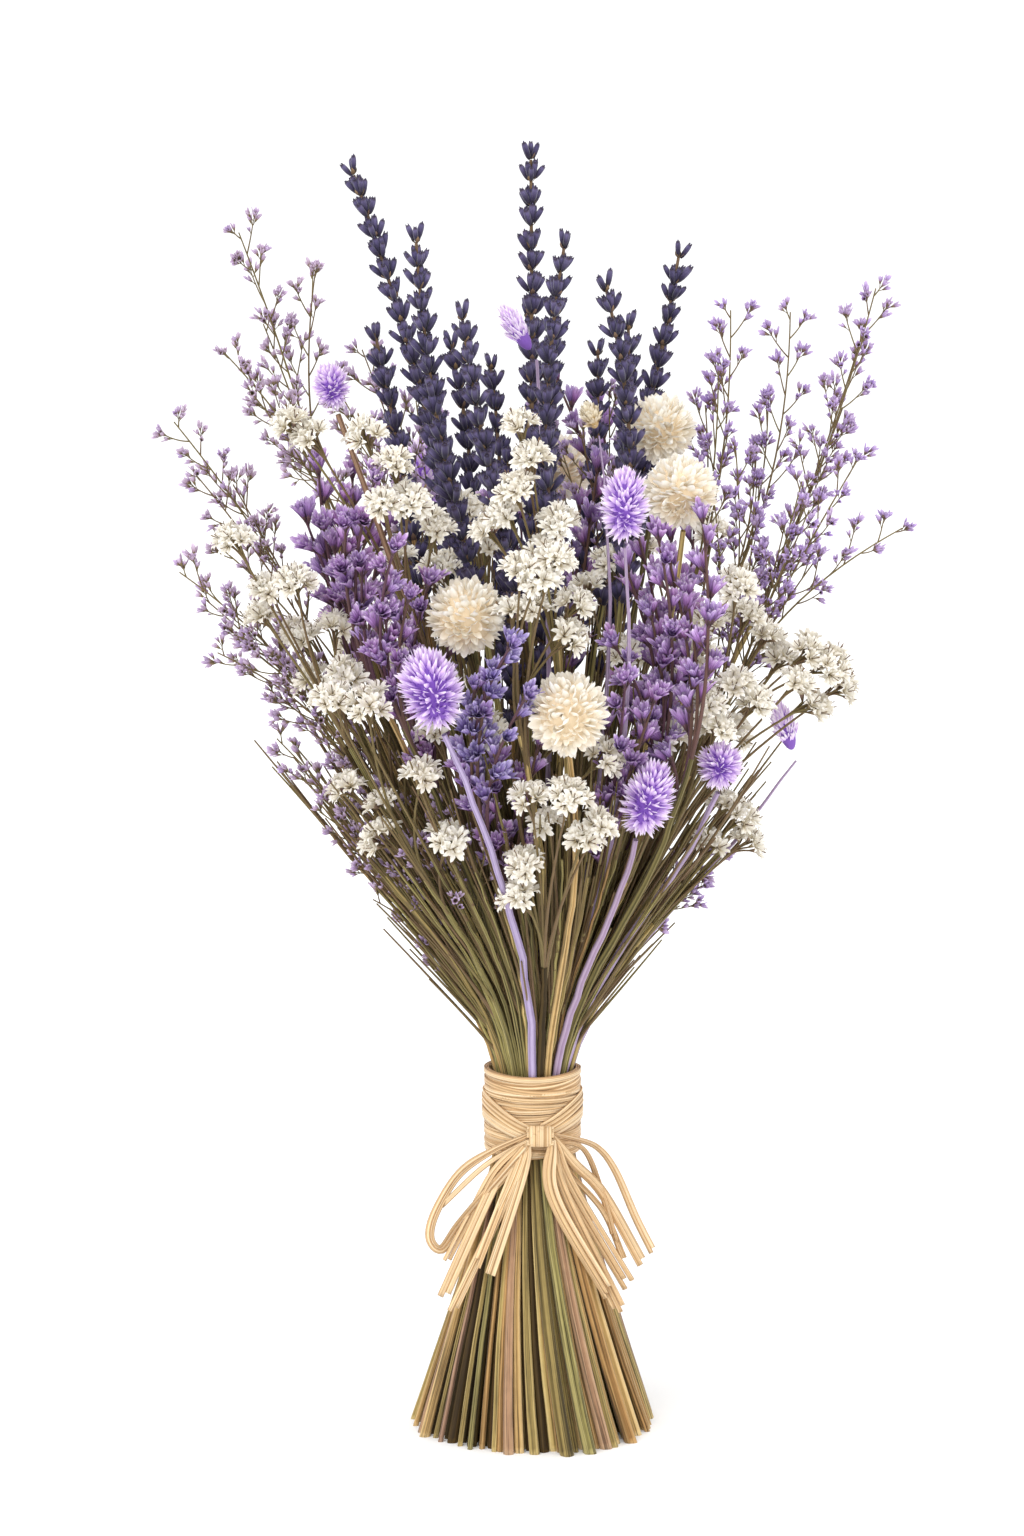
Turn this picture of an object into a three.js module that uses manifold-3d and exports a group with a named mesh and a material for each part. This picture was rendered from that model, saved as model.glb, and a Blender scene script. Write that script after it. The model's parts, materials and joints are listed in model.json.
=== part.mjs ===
// A hand-tied bunch of dried flowers that stands on its splayed, level-cut stems.
// Millimetres, +Z up, the floor at z = 0, and the front of the bunch towards -Y.
// Every flower is one stem from its cut foot, through the raffia tie, to its head.
import * as THREE from "three";
import { mergeVertices } from "three/addons/utils/BufferGeometryUtils.js";
import Module from "manifold-3d";

const wasm = await Module();
wasm.setup();

// ---------------------------------------------------------------- driving dimensions
const TIE_HEIGHT = 111.5; // middle of the raffia, above the floor
const WAIST = 12; // from the axis to the middle of an outermost stem in the tie
const LEAN_ABOVE = 0.7; // how fast the bunch widens above the tie
const SOFT_LEAN = 0.6; // the share of that which it has just above the tie
const SOFT_RISE = 100; // height over which it comes to all of it
const LEAN_BELOW = 0.34; // and below it
const TOP_DEPTH = 0.74; // the flower head is this much shallower than it is wide
const DEPTH_RISE = 120; // height over which it flattens
const TURN_ABOVE = 0.36; // spiral of the stems, in radians, at TURN_RISE above the tie
const TURN_RISE = 170;
const TURN_BELOW = 0.24; // and at the floor
const STEM_RADIUS = 1.05;
const FOOT_SWELL = 0.85; // extra stem radius at the cut foot
const STEM_SIDES = 5;
const BENDS = [0, 101, 123, 153, 210]; // heights where every stem bends alike
const GAP = 0.25; // clear space between neighbouring pieces
const SETTLE_ROUNDS = 260;
const OUTERMOST = 1.1; // the slot of a stem at the very edge of the bunch
// How firmly each kind keeps its place in the front view while the stems settle.
const HOLD = {
  globe_amaranth: 8,
  canary_grass: 6,
  lavender: 4,
  violet_statice: 0.8,
  white_statice: 0.8,
  sea_lavender: 0.8,
};
const HOLD_BEHIND = 0.5; // and a flower at the back of the bunch
const SIDEWAYS = 0.25; // stems give way in depth rather than sideways
const AIM_BACK = 0.6; // the share of its shift sideways that a head makes up by leaning back
const WRAP = { low: 97, high: 125, thick: 1.5, groove: 0.7, turns: 4, sides: 14 };
const BAND = { high: 115.5, drop: 9, width: 7, thick: 0.9 }; // the strands drawn down to the knot
const KNOT = { x: 2.6, z: 105, half: [3.4, 2.2, 4] };
const STRIP = { width: 3.4, thick: 0.8, steps: 4, loopSteps: 9 }; // one flattened strand of raffia
const DRAPE = 3.6; // from the stems' skin to the middle of a strand over it
const DRAPE_AT_WRAP = 6.6; // and where the strand hangs in front of the wrap
const SMALLEST_EDGE = 0.25; // joined surfaces are tidied to this

const COLOURS = {
  lavender: 0x4a4668,
  sea_lavender: 0x9a86ac,
  violet_statice: 0x7d55a0,
  white_statice: 0xe9e5d6,
  canary_grass: 0xb08ee0,
  globe_amaranth: 0xefe0c0,
  raffia: 0xe2bd88,
};

// ---------------------------------------------------------------- the flowers, front view
// x and z of a head's base and of its tip, and depth from -1 (front of the bunch) to 1 (back).
const LAVENDER = [
  { base: [-30, 322], tip: [-62, 437], depth: -0.2 },
  { base: [-23, 323], tip: [-37.5, 416.5], depth: -0.42 },
  { base: [-13, 324], tip: [-24.5, 394], depth: -0.5 },
  { base: [-45, 322], tip: [-55, 378], depth: 0.15 },
  { base: [-1, 333], tip: [-1, 440], depth: 0.02 },
  { base: [13, 318], tip: [14, 415], depth: -0.38 },
  { base: [5, 318], tip: [8, 391], depth: 0.35 },
  { base: [25, 322], tip: [19.5, 400], depth: -0.32 },
  { base: [33, 316], tip: [33, 382], depth: 0.0 },
  { base: [35, 328], tip: [50.5, 404], depth: 0.2 },
  { base: [-22, 300], tip: [-30, 370], depth: 0.6 },
];
const GLOBES = [
  { base: [-23.5, 275.5], tip: [-23.5, 302.5], depth: -0.92, girth: 13.5 },
  { base: [10, 244], tip: [10, 273], depth: -1, girth: 13.5 },
  { base: [39.5, 332], tip: [41, 357], depth: -0.1, girth: 12.5 },
  { base: [45, 315], tip: [45, 341], depth: -0.5, girth: 13 },
  { base: [8, 306], tip: [9, 332], depth: 0.85, girth: 13 },
];
const GRASSES = [
  { base: [-31, 252], tip: [-38, 283], depth: -1.05, girth: 11.5 },
  { base: [34, 212.5], tip: [42.5, 241], depth: -1.05, girth: 9.6 },
  { base: [61, 226], tip: [62.5, 245], depth: -0.9, girth: 8 },
  { base: [-63, 352], tip: [-68, 370], depth: -0.3, girth: 6.5 },
  { base: [88, 232], tip: [81, 254], depth: -0.62, girth: 5.5 },
  { base: [4, 369], tip: [-10, 388], depth: -0.45, girth: 5.2 },
  { base: [28, 314], tip: [28.5, 342], depth: -0.62, girth: 8.8 },
  { base: [16.5, 349], tip: [14.5, 361], depth: -0.5, girth: 3.9 },
  { base: [-34, 300], tip: [-38, 330], depth: 0.85, girth: 10.5 },
];
// Branched flowers: the height where the stem branches, and the end of each branch.
const VIOLETS = [
  { base: [-60, 268], ends: [[-71, 334], [-62, 324]], depth: -0.35 },
  { base: [-50, 262], ends: [[-61, 320], [-51, 336]], depth: -0.6 },
  { base: [-40, 250], ends: [[-45, 314], [-48, 290]], depth: -0.78 },
  { base: [-12, 214], ends: [[-7, 284], [-19, 268]], depth: -0.94 },
  { base: [34, 232], ends: [[40, 318], [38, 290]], depth: -0.62 },
  { base: [46, 240], ends: [[55, 322], [50, 296], [48, 274]], depth: -0.5 },
  { base: [24, 262], ends: [[22, 345], [8, 352], [40, 330]], depth: 0.62 },
  { base: [-52, 258], ends: [[-62, 322], [-44, 316], [-50, 284]], depth: 0.72 },
];
const WHITES = [
  { base: [-38, 276], ends: [[-40, 328], [-54, 349], [-80, 351], [-32, 318]], depth: -0.6 },
  { base: [-3, 278], ends: [[-6, 334], [-4, 354], [-15, 318], [8, 322]], depth: -0.68 },
  { base: [4, 250], ends: [[2, 307], [14, 294], [-7, 292]], depth: -0.88 },
  { base: [-60, 240], ends: [[-78, 298], [-90, 284], [-66, 280], [-99, 312]], depth: -0.5 },
  { base: [-36, 196], ends: [[-54, 260], [-36, 235], [-62, 226], [-28, 212]], depth: -0.86 },
  { base: [2, 166], ends: [[12, 231], [-1, 229], [22, 220], [-3, 205]], depth: -1 },
  { base: [54, 228], ends: [[67, 296], [58, 282], [78, 276], [92, 271]], depth: -0.42 },
  { base: [50, 212], ends: [[58, 257], [74, 256], [88, 262], [103, 258]], depth: -0.72 },
  { base: [40, 176], ends: [[69, 214], [60, 204]], depth: -0.4 },
  { base: [46, 240], ends: [[62, 300], [74, 284], [40, 292], [82, 262]], depth: 0.82 },
  { base: [-22, 226], ends: [[-28, 284], [-46, 270], [-8, 272], [-62, 262]], depth: 0.95 },
];
const SEA_LAVENDERS = [
  { base: [-63, 322], ends: [[-98, 409], [-73, 395], [-91, 376]], depth: 0.1 },
  { base: [-66, 300], ends: [[-102, 371], [-84, 350]], depth: -0.1 },
  { base: [-66, 262], ends: [[-119, 348], [-100, 326], [-108, 306]], depth: -0.15 },
  { base: [-60, 238], ends: [[-118, 297], [-96, 272], [-106, 268]], depth: -0.3 },
  { base: [-46, 196], ends: [[-86, 240], [-58, 194], [-72, 214]], depth: -0.45 },
  { base: [58, 288], ends: [[66, 383], [58, 350]], depth: 0.1 },
  { base: [70, 290], ends: [[87, 380], [80, 350]], depth: 0.3 },
  { base: [74, 286], ends: [[114, 391], [104, 350]], depth: 0.05 },
  { base: [70, 262], ends: [[109, 336], [124, 310], [96, 300]], depth: -0.05 },
  { base: [29, 164], ends: [[57, 187], [64, 198]], depth: -0.3 },
  { base: [-40, 268], ends: [[-70, 350], [-84, 320], [-58, 330]], depth: 0.75 },
];

// ---------------------------------------------------------------- how the stems run
/** Distance from the axis to an outermost stem at height z: the waist of an hourglass. */
function reach(z) {
  const rise = z - TIE_HEIGHT;
  const share = THREE.MathUtils.lerp(SOFT_LEAN, 1, THREE.MathUtils.smoothstep(rise, 0, SOFT_RISE));
  const lean = rise > 0 ? LEAN_ABOVE * share : LEAN_BELOW;
  return Math.sqrt(WAIST ** 2 + (lean * rise) ** 2);
}

/** The bunch's depth over its width at height z. */
function depthShare(z) {
  const t = THREE.MathUtils.smoothstep(z, TIE_HEIGHT, TIE_HEIGHT + DEPTH_RISE);
  return 1 - (1 - TOP_DEPTH) * t;
}

/** How far the bunch is turned about its axis at height z. */
function turn(z) {
  const rise = z - TIE_HEIGHT;
  return rise > 0 ? (TURN_ABOVE * rise) / TURN_RISE : (TURN_BELOW * rise) / TIE_HEIGHT;
}

/** Where the stem in this slot of the bunch is at height z. */
function inBunch(slot, z) {
  const c = Math.cos(turn(z));
  const s = Math.sin(turn(z));
  const x = reach(z) * (slot.x * c + slot.y * s);
  const y = reach(z) * depthShare(z) * (slot.y * c - slot.x * s);
  return new THREE.Vector3(x, y, z);
}

/** The slot whose stem passes through a point. */
function slotAt(point) {
  const c = Math.cos(turn(point.z));
  const s = Math.sin(turn(point.z));
  const x = point.x / reach(point.z);
  const y = point.y / (reach(point.z) * depthShare(point.z));
  return new THREE.Vector2(x * c - y * s, y * c + x * s);
}

/** A front-view place at a share of the bunch's depth, as a point in space. */
function placeAt([x, z], depth) {
  const room = Math.max(reach(z) ** 2 - x ** 2, (0.25 * reach(z)) ** 2);
  return new THREE.Vector3(x, depth * depthShare(z) * Math.sqrt(room), z);
}

function stemRadius(z) {
  return STEM_RADIUS + FOOT_SWELL * Math.max(0, 1 - z / WRAP.low);
}

// ---------------------------------------------------------------- settling side by side
const HEAD_GIRTH = { lavender: 5.2, violet_statice: 2.5, white_statice: 1.6, sea_lavender: 1.4 };
const HEAD_ROOM = 1.12;
const LEVELS = [0, 50, 88, ...Array.from({ length: 35 }, (_, i) => 101 + i * 8)];

/** The heights of a stem's own rings: the shared bends, and its head's base. */
function ringHeights(flower) {
  const top = flower.base[1];
  return [...BENDS.filter((z) => z < top - 8), top];
}

/** The stem's direction at a height. */
function headingAt(flower, z) {
  return inBunch(flower.slot, z + 5).sub(inBunch(flower.slot, z - 5)).normalize();
}

/** The tip of a single head: near its place in the front view, and in depth leaning on as its stem does. */
function headTip(flower) {
  const heading = headingAt(flower, flower.base[1]);
  const base = inBunch(flower.slot, flower.base[1]);
  const rise = flower.tip[1] - flower.base[1];
  const aside = flower.tip[0] - flower.base[0] + AIM_BACK * (flower.base[0] - base.x);
  return base.add(new THREE.Vector3(aside, 0.6 * rise * (heading.y / heading.z), rise));
}

/** Where a flower, made of straight stretches between its rings, is at height z. */
function stemAt(flower, z) {
  const rings = ringHeights(flower);
  const above = rings.findIndex((ring) => ring >= z);
  if (above === 0) return inBunch(flower.slot, z);
  if (above < 0) {
    const base = inBunch(flower.slot, flower.base[1]);
    return flower.tip ? base.lerp(headTip(flower), (z - base.z) / (flower.top - base.z)) : base;
  }
  const [low, high] = [rings[above - 1], rings[above]];
  return inBunch(flower.slot, low).lerp(inBunch(flower.slot, high), (z - low) / (high - low));
}

/** The room a flower needs about its axis at height z, or null above its top. */
function roomAt(flower, z) {
  if (z > flower.top) return null;
  if (z < flower.base[1] - 2) return stemRadius(z);
  return (flower.girth ?? HEAD_GIRTH[flower.kind]) * HEAD_ROOM;
}

/** How firmly a flower keeps its place. */
function holdOf(flower) {
  return flower.depth > 0.5 ? HOLD_BEHIND : HOLD[flower.kind];
}

/** The direction in which two slots part: mostly in depth as seen at a height. */
function partingWay(a, b, z) {
  const way = a.slot.clone().sub(b.slot).rotateAround(new THREE.Vector2(), -turn(z));
  way.x *= SIDEWAYS;
  return way.rotateAround(new THREE.Vector2(), turn(z)).normalize();
}

/** Moves two flowers' slots apart where they are closer than their rooms allow. */
function pushApart(a, b) {
  for (const z of LEVELS) {
    const roomA = roomAt(a, z);
    const roomB = roomAt(b, z);
    if (roomA === null || roomB === null) continue;
    const across = stemAt(a, z).sub(stemAt(b, z));
    const distance = Math.max(across.length(), 1e-6);
    const short = roomA + roomB + 2 * GAP - distance;
    if (short <= 0) continue;
    const way = partingWay(a, b, Math.min(a.top, b.top));
    const share = holdOf(b) / (holdOf(a) + holdOf(b));
    a.slot.addScaledVector(way, (share * short) / reach(z));
    b.slot.addScaledVector(way, ((share - 1) * short) / reach(z));
  }
}

/** Lets the stems settle side by side, each as near as it can to where its head belongs. */
function settle(flowers) {
  for (let round = 0; round < SETTLE_ROUNDS; round += 1) {
    const pull = 0.06 * Math.max(0, 1 - round / (0.8 * SETTLE_ROUNDS));
    for (const flower of flowers) flower.slot.lerp(flower.wanted, pull);
    flowers.forEach((a, i) => flowers.slice(i + 1).forEach((b) => pushApart(a, b)));
    for (const flower of flowers) flower.slot.clampLength(0, OUTERMOST);
  }
}

// ---------------------------------------------------------------- solids
/** A closed three.js geometry as a solid that can be joined and cut. */
function solidOf(geometry) {
  geometry.deleteAttribute("normal");
  geometry.deleteAttribute("uv");
  const merged = mergeVertices(geometry, 1e-4);
  return new wasm.Manifold(
    new wasm.Mesh({
      numProp: 3,
      vertProperties: new Float32Array(merged.attributes.position.array),
      triVerts: new Uint32Array(merged.index.array),
    }),
  );
}

/** Moves every vertex of a geometry by a function of its place. */
function reshape(geometry, move) {
  const places = geometry.attributes.position;
  for (let i = 0; i < places.count; i += 1) {
    const moved = move(new THREE.Vector3().fromBufferAttribute(places, i));
    places.setXYZ(i, moved.x, moved.y, moved.z);
  }
  return geometry;
}

/**
 * A closed skin round a line of points. shape(row, column) gives how far a skin point is out
 * from the line and how far ahead along it. A level skin has its rows cut flat.
 */
function skin(points, sides, shape, level = false) {
  const last = points.length - 1;
  const along = points[last].clone().sub(points[0]);
  const guess = new THREE.Vector3(...(Math.abs(along.x) < Math.abs(along.y) ? [1, 0, 0] : [0, 1, 0]));
  const frames = points.map((_, i) => {
    const before = points[Math.max(0, i - 1)];
    const after = points[Math.min(last, i + 1)];
    const ahead = level ? new THREE.Vector3(0, 0, 1) : after.clone().sub(before).normalize();
    const side = guess.clone().cross(ahead).normalize();
    return { ahead, side, up: ahead.clone().cross(side) };
  });
  const geometry = reshape(new THREE.CylinderGeometry(1, 1, 1, sides, last), (v) => {
    const row = Math.round((v.y + 0.5) * last);
    const isMiddle = Math.hypot(v.x, v.z) < 0.5;
    const column = isMiddle ? -1 : Math.round((Math.atan2(v.x, v.z) * sides) / (2 * Math.PI)) + sides;
    const [out, on] = shape(row, column);
    const { ahead, side, up } = frames[row];
    const centre = points[row].clone().addScaledVector(ahead, on);
    return centre.addScaledVector(up, v.x * out).addScaledVector(side, v.z * out);
  });
  return solidOf(geometry);
}

/** A tube through points, with a radius at each. */
function tube(points, radii, sides, level = false) {
  return skin(points, sides, (row) => [radii[row], 0], level);
}

/** Turns a geometry built up the Y axis to point along a direction from a root. */
function aim(geometry, root, direction) {
  const turned = new THREE.Quaternion().setFromUnitVectors(
    new THREE.Vector3(0, 1, 0),
    direction.clone().normalize(),
  );
  return geometry.applyQuaternion(turned).translate(root.x, root.y, root.z);
}

/** A bud on its stalk: from its root it widens to a rim and closes in a point. */
function bud(root, direction, { rimAt, rim, endAt, sides }, grow) {
  const geometry = reshape(new THREE.ConeGeometry(1, 1, sides, 1), (v) => {
    if (v.y > 0) return new THREE.Vector3(0, -grow, 0);
    if (Math.hypot(v.x, v.z) < 0.5) return new THREE.Vector3(0, endAt + grow, 0);
    return new THREE.Vector3(-v.x * (rim + grow), rimAt, v.z * (rim + grow));
  });
  return solidOf(aim(geometry, root, direction));
}

/** A ball in rings and columns whose poles and every second point are tips: shape(ring, isTip, v). */
function tippedBall(rings, sides, shape) {
  return reshape(new THREE.SphereGeometry(1, sides, rings), (v) => {
    const ring = Math.round((Math.acos(THREE.MathUtils.clamp(v.y, -1, 1)) * rings) / Math.PI);
    const column = Math.round((Math.atan2(v.z, -v.x) * sides) / (2 * Math.PI)) + sides;
    return shape(ring, ring === 0 || ring === rings || (ring + column) % 2 === 0, v);
  });
}

/** A dense head: an egg whose every second point stands out as a pointed scale. */
function scalyHead(base, tip, girth, { rings, sides }) {
  const axis = tip.clone().sub(base);
  const half = axis.length() / 2;
  const geometry = tippedBall(rings, sides, (_, isTip, v) => {
    const width = girth * (isTip ? 1 : 0.74) * (1 - 0.1 * v.y);
    const lift = isTip && Math.abs(v.y) < 0.99 ? 0.12 * half : 0;
    return new THREE.Vector3(v.x * width, v.y * half * (isTip ? 1 : 0.86) + lift, v.z * width);
  });
  return solidOf(aim(geometry, base.clone().lerp(tip, 0.5), axis));
}

/** A twig that ends in a cluster of florets: two layers of pointed petals round a raised middle. */
function clusteredTwig(line, radius, spread, grow) {
  const [root, bend, tip] = line;
  const neck = bend.clone().lerp(tip, 1 - (0.55 * spread) / bend.distanceTo(tip));
  const PETALS = [
    [1.1, 0.1],
    [0.8, 0.75],
  ];
  return skin([root, neck, tip, tip.clone().lerp(neck, -0.2)], 6, (row, column) => {
    if (row < 2) return [radius + grow, row === 0 ? -grow : 0];
    const [out, on] = PETALS[row - 2];
    if (column < 0) return [0, 0.45 * spread + grow];
    const isPetal = (row + column) % 2 === 0;
    return [spread * (isPetal ? out : 0.5 * out) + grow, spread * (isPetal ? on : on - 0.3) + grow];
  });
}

/** A spike of rings up a line: each ring's pointed buds or petals stand out between notches. */
function ringedSpike(curve, sizes, form, grow = 0) {
  const rings = sizes.length;
  const share = (row) => form.from + ((1 - form.from) * (row - (row % 2))) / (2 * rings);
  const shares = [...(form.from > 0 ? [0] : []), ...Array.from({ length: 2 * rings + 1 }, (_, row) => share(row))];
  const first = shares.length - 2 * rings - 1;
  const points = shares.map((at) => curve.getPointAt(at));
  return skin(points, form.sides, (at, column) => {
    const row = at - first;
    if (row < 0 || row % 2 === 0) return [(row === 2 * rings ? 0.3 : form.core) + grow, 0];
    const size = sizes[(row - 1) / 2];
    const stands = ((row - 1) / 2 + column) % 2 === 0;
    const [out, on] = stands ? [form.out * size, form.rise * size] : [form.core + form.web, form.webRise];
    return [out + grow, on];
  });
}

/** A flat strip of raffia along points, which bends only across its broad face. */
function strip(points, across, { width, thick }) {
  const steps = points.length - 1;
  const geometry = new THREE.BoxGeometry(1, 1, 1, 1, steps, 1);
  return solidOf(
    reshape(geometry, (v) => {
      const i = Math.round((v.y + 0.5) * steps);
      const before = points[Math.max(0, i - 1)];
      const after = points[Math.min(steps, i + 1)];
      const out = across.clone().cross(after.clone().sub(before)).normalize();
      return points[i].clone().addScaledVector(across, v.x * width).addScaledVector(out, v.z * thick);
    }),
  );
}

// ---------------------------------------------------------------- keeping pieces clear
const placed = [];

function boxesMeet(a, b) {
  return [0, 1, 2].every((i) => a.min[i] < b.max[i] && b.min[i] < a.max[i]);
}

/** True if a solid meets no part of any other piece. */
function isClear(owner, solid) {
  const box = solid.boundingBox();
  return !placed.some(
    (part) =>
      part.owner !== owner &&
      boxesMeet(box, part.box) &&
      solid.intersect(part.solid).volume() > 0,
  );
}

function place(owner, solid) {
  placed.push({ owner, solid, box: solid.boundingBox() });
}

/** Places the first of a small piece's forms that, grown by the gap, meets nothing. */
function placeFirstClear(owner, forms, make) {
  const form = forms.find((candidate) => isClear(owner, make(candidate, GAP)));
  if (form !== undefined) place(owner, make(form, 0));
}

/** All the parts of one piece joined, without loose scraps or sealed hollows. */
function fused(owner) {
  const whole = wasm.Manifold.union(placed.filter((p) => p.owner === owner).map((p) => p.solid));
  const bodies = whole.simplify(SMALLEST_EDGE).decompose();
  return bodies.reduce((a, b) => (b.volume() > a.volume() ? b : a));
}

// ---------------------------------------------------------------- lines of growth
/** A curve that leaves the stem in its own direction and bends to an end point. */
function bendTo(from, leaving, end, steps) {
  const length = end.clone().sub(from).length();
  const corner = from.clone().addScaledVector(leaving, length * 0.45);
  return new THREE.QuadraticBezierCurve3(from, corner, end).getPoints(steps);
}

/** The line of a single head, from the top of its stem to its tip. */
function headLine(flower, steps) {
  const baseHeight = flower.base[1];
  return bendTo(inBunch(flower.slot, baseHeight), headingAt(flower, baseHeight), headTip(flower), steps);
}

/** Places a stem, which runs on, thinner, a little way into a single head. */
function placeStem(flower) {
  const points = ringHeights(flower).map((z) => inBunch(flower.slot, z));
  const radii = points.map((p) => stemRadius(p.z));
  if (flower.tip) {
    points.push(headLine(flower, 4)[1]);
    radii.push(0.55 * STEM_RADIUS);
  }
  place(flower.name, tube(points, radii, STEM_SIDES, true));
}

/** A unit direction at an angle from an axis, at a turn about it. */
function spreadFrom(axis, angle, about) {
  const side = new THREE.Vector3(0, 1, 0).cross(axis).normalize();
  const other = axis.clone().cross(side);
  return axis
    .clone()
    .multiplyScalar(Math.cos(angle))
    .addScaledVector(side, Math.sin(angle) * Math.cos(about))
    .addScaledVector(other, Math.sin(angle) * Math.sin(about));
}

function scaled(form, size) {
  return { ...form, rimAt: form.rimAt * size, rim: form.rim * size, endAt: form.endAt * size };
}

// ---------------------------------------------------------------- flowers
const LAVENDER_SPIKE = { from: 0, sides: 6, core: 1.05, out: 5.4, rise: 9.5, web: 0.6, webRise: 3 };
const VIOLET_SPIKE = { from: 0.4, sides: 6, core: 1, out: 6.2, rise: 6.5, web: 1.2, webRise: 2.5 };
const BUD_SPACING = 12;
const SEA_LAVENDER_TWIG = { rimAt: 12, rim: 1.6, endAt: 15.5, sides: 3 };
const GLOBE_FORM = { rings: 6, sides: 10 };
const EAR_FORM = { rings: 5, sides: 8 };

/** A lavender spike, whose bud rings are drawn in where a neighbour is close. */
function growLavender(flower) {
  const curve = new THREE.CatmullRomCurve3(headLine(flower, 3));
  const rings = Math.round(curve.getLength() / BUD_SPACING);
  const { out, rise, sides } = LAVENDER_SPIKE;
  const sizes = Array.from({ length: rings }, (_, ring) => {
    const share = ring / rings;
    const taper = 1.08 - 0.32 * share ** 2;
    const room = [1, 0.85, 0.7, 0.55, 0.4].find((size) => {
      const form = { rimAt: rise * size, rim: out * size * taper, endAt: rise * size, sides };
      return isClear(flower.name, bud(curve.getPointAt(share), curve.getTangentAt(share), form, GAP));
    });
    return (room ?? 0.3) * taper;
  });
  place(flower.name, ringedSpike(curve, sizes, LAVENDER_SPIKE));
}

/** A globe or a grass ear on top of its stem. */
function growScalyHead(flower, form) {
  const [base, , tip] = headLine(flower, 2);
  place(flower.name, scalyHead(base, tip, flower.girth, form));
}

/** The curved branches of a branched flower, each led clear of its neighbours. */
function growBranches(flower, branchOf, finish) {
  const SIDESTEPS = [0, 1, -1, 2, -2, 3, -3, 4, -4];
  const STARTS = [0, -10, 10, -20];
  const APART = 6;
  const routes = STARTS.flatMap((start) => SIDESTEPS.map((step) => ({ start, step })));
  flower.ends.forEach((end, i) => {
    const lineOf = ({ start, step }) => {
      const startZ = Math.min(flower.base[1], end[1] - 14) + start - APART * i;
      const tip = placeAt(end, flower.depth + 0.1 * ((i % 3) - 1));
      tip.y += step * 5;
      return bendTo(stemAt(flower, startZ), headingAt(flower, startZ), tip, 2);
    };
    const route = routes.find((candidate) => isClear(flower.name, branchOf(lineOf(candidate), i, GAP)));
    if (route === undefined) return;
    place(flower.name, branchOf(lineOf(route), i, 0));
    finish?.(lineOf(route), i);
  });
}

/** Small florets along a branch: roots at shares of its length, led out at an angle. */
function dressBranch(flower, line, first, { count, from, to, lean, form }) {
  const curve = new THREE.CatmullRomCurve3(line);
  const GOLDEN_TURN = 2.4;
  for (let twig = 0; twig < count; twig += 1) {
    const share = from + ((to - from) * twig) / (count - 1);
    const turns = [0, 0.5, -0.5, 1, -1, 1.6, -1.6].map((extra) => twig * GOLDEN_TURN + first + extra);
    placeFirstClear(flower.name, turns, (about, grow) =>
      bud(curve.getPointAt(share), spreadFrom(curve.getTangentAt(share), lean, about), form, grow),
    );
  }
  placeFirstClear(flower.name, [0.6, 0.4], (size, grow) =>
    bud(curve.getPointAt(0.97), curve.getTangentAt(1), scaled(form, size), grow),
  );
}

function growWhite(flower) {
  const spreadOf = (i) => 7.8 - 0.9 * (i % 3);
  growBranches(flower, (line, i, grow) => clusteredTwig(line, 0.9, spreadOf(i), grow));
}

function growViolet(flower) {
  const RING_SIZES = [0.9, 1.05, 0.8];
  growBranches(flower, (line, i, grow) => {
    const curve = new THREE.CatmullRomCurve3(line);
    return ringedSpike(curve, RING_SIZES, VIOLET_SPIKE, grow);
  });
}

function growSeaLavender(flower) {
  const RADIUS = 0.8;
  const florets = { count: 3, from: 0.45, to: 0.88, lean: 0.7, form: SEA_LAVENDER_TWIG };
  growBranches(
    flower,
    (line, i, grow) => tube(line, [RADIUS + grow, RADIUS + grow, 0.6 * RADIUS + grow], 3),
    (line, i) => dressBranch(flower, line, i, florets),
  );
}

/** Lists one kind of flower with names, tops and the slots that their heads ask for. */
function bunchOf(kind, list) {
  return list.map((flower, i) => {
    const wanted = slotAt(placeAt(flower.base, flower.depth));
    const top = flower.tip ? flower.tip[1] : flower.base[1];
    const name = `${kind}_${String(i + 1).padStart(2, "0")}`;
    return { ...flower, kind, name, top, wanted, slot: wanted.clone() };
  });
}

const flowers = [
  ...bunchOf("lavender", LAVENDER),
  ...bunchOf("globe_amaranth", GLOBES),
  ...bunchOf("canary_grass", GRASSES),
  ...bunchOf("violet_statice", VIOLETS),
  ...bunchOf("white_statice", WHITES),
  ...bunchOf("sea_lavender", SEA_LAVENDERS),
];
settle(flowers);
const ofKind = (kind) => flowers.filter((flower) => flower.kind === kind);

flowers.forEach(placeStem);
ofKind("globe_amaranth").forEach((flower) => growScalyHead(flower, GLOBE_FORM));
ofKind("canary_grass").forEach((flower) => growScalyHead(flower, EAR_FORM));
ofKind("lavender").forEach(growLavender);
ofKind("white_statice").forEach(growWhite);
ofKind("violet_statice").forEach(growViolet);
ofKind("sea_lavender").forEach(growSeaLavender);

// ---------------------------------------------------------------- raffia
// Front-view ways of the bow's strands, from beside the knot to their ends.
const LEFT_LOOP = [[-14, 100], [-25, 91], [-32.5, 79], [-34.5, 71], [-31, 67], [-25, 74], [-17, 84], [-8, 94]];
const LEFT_TAILS = [
  [[-12, 90], [-31, 51]],
  [[-8, 86], [-27.5, 49]],
  [[-16, 93], [-31, 78]],
  [[-4, 90], [-15, 61]],
];
const RIGHT_TAILS = [
  [[14, 103], [22, 98], [28, 88], [35, 75], [40.5, 66]],
  [[14, 95], [24, 82], [36.5, 62]],
  [[12, 88], [32, 53]],
  [[10, 86], [30, 46]],
  [[7, 84], [26, 49]],
];

/** How far out the outermost stem's skin is at height z. */
function stemsEdge(z) {
  const outs = flowers.map((flower) => Math.hypot(stemAt(flower, z).x, stemAt(flower, z).y));
  return Math.max(...outs) + stemRadius(z);
}

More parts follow.
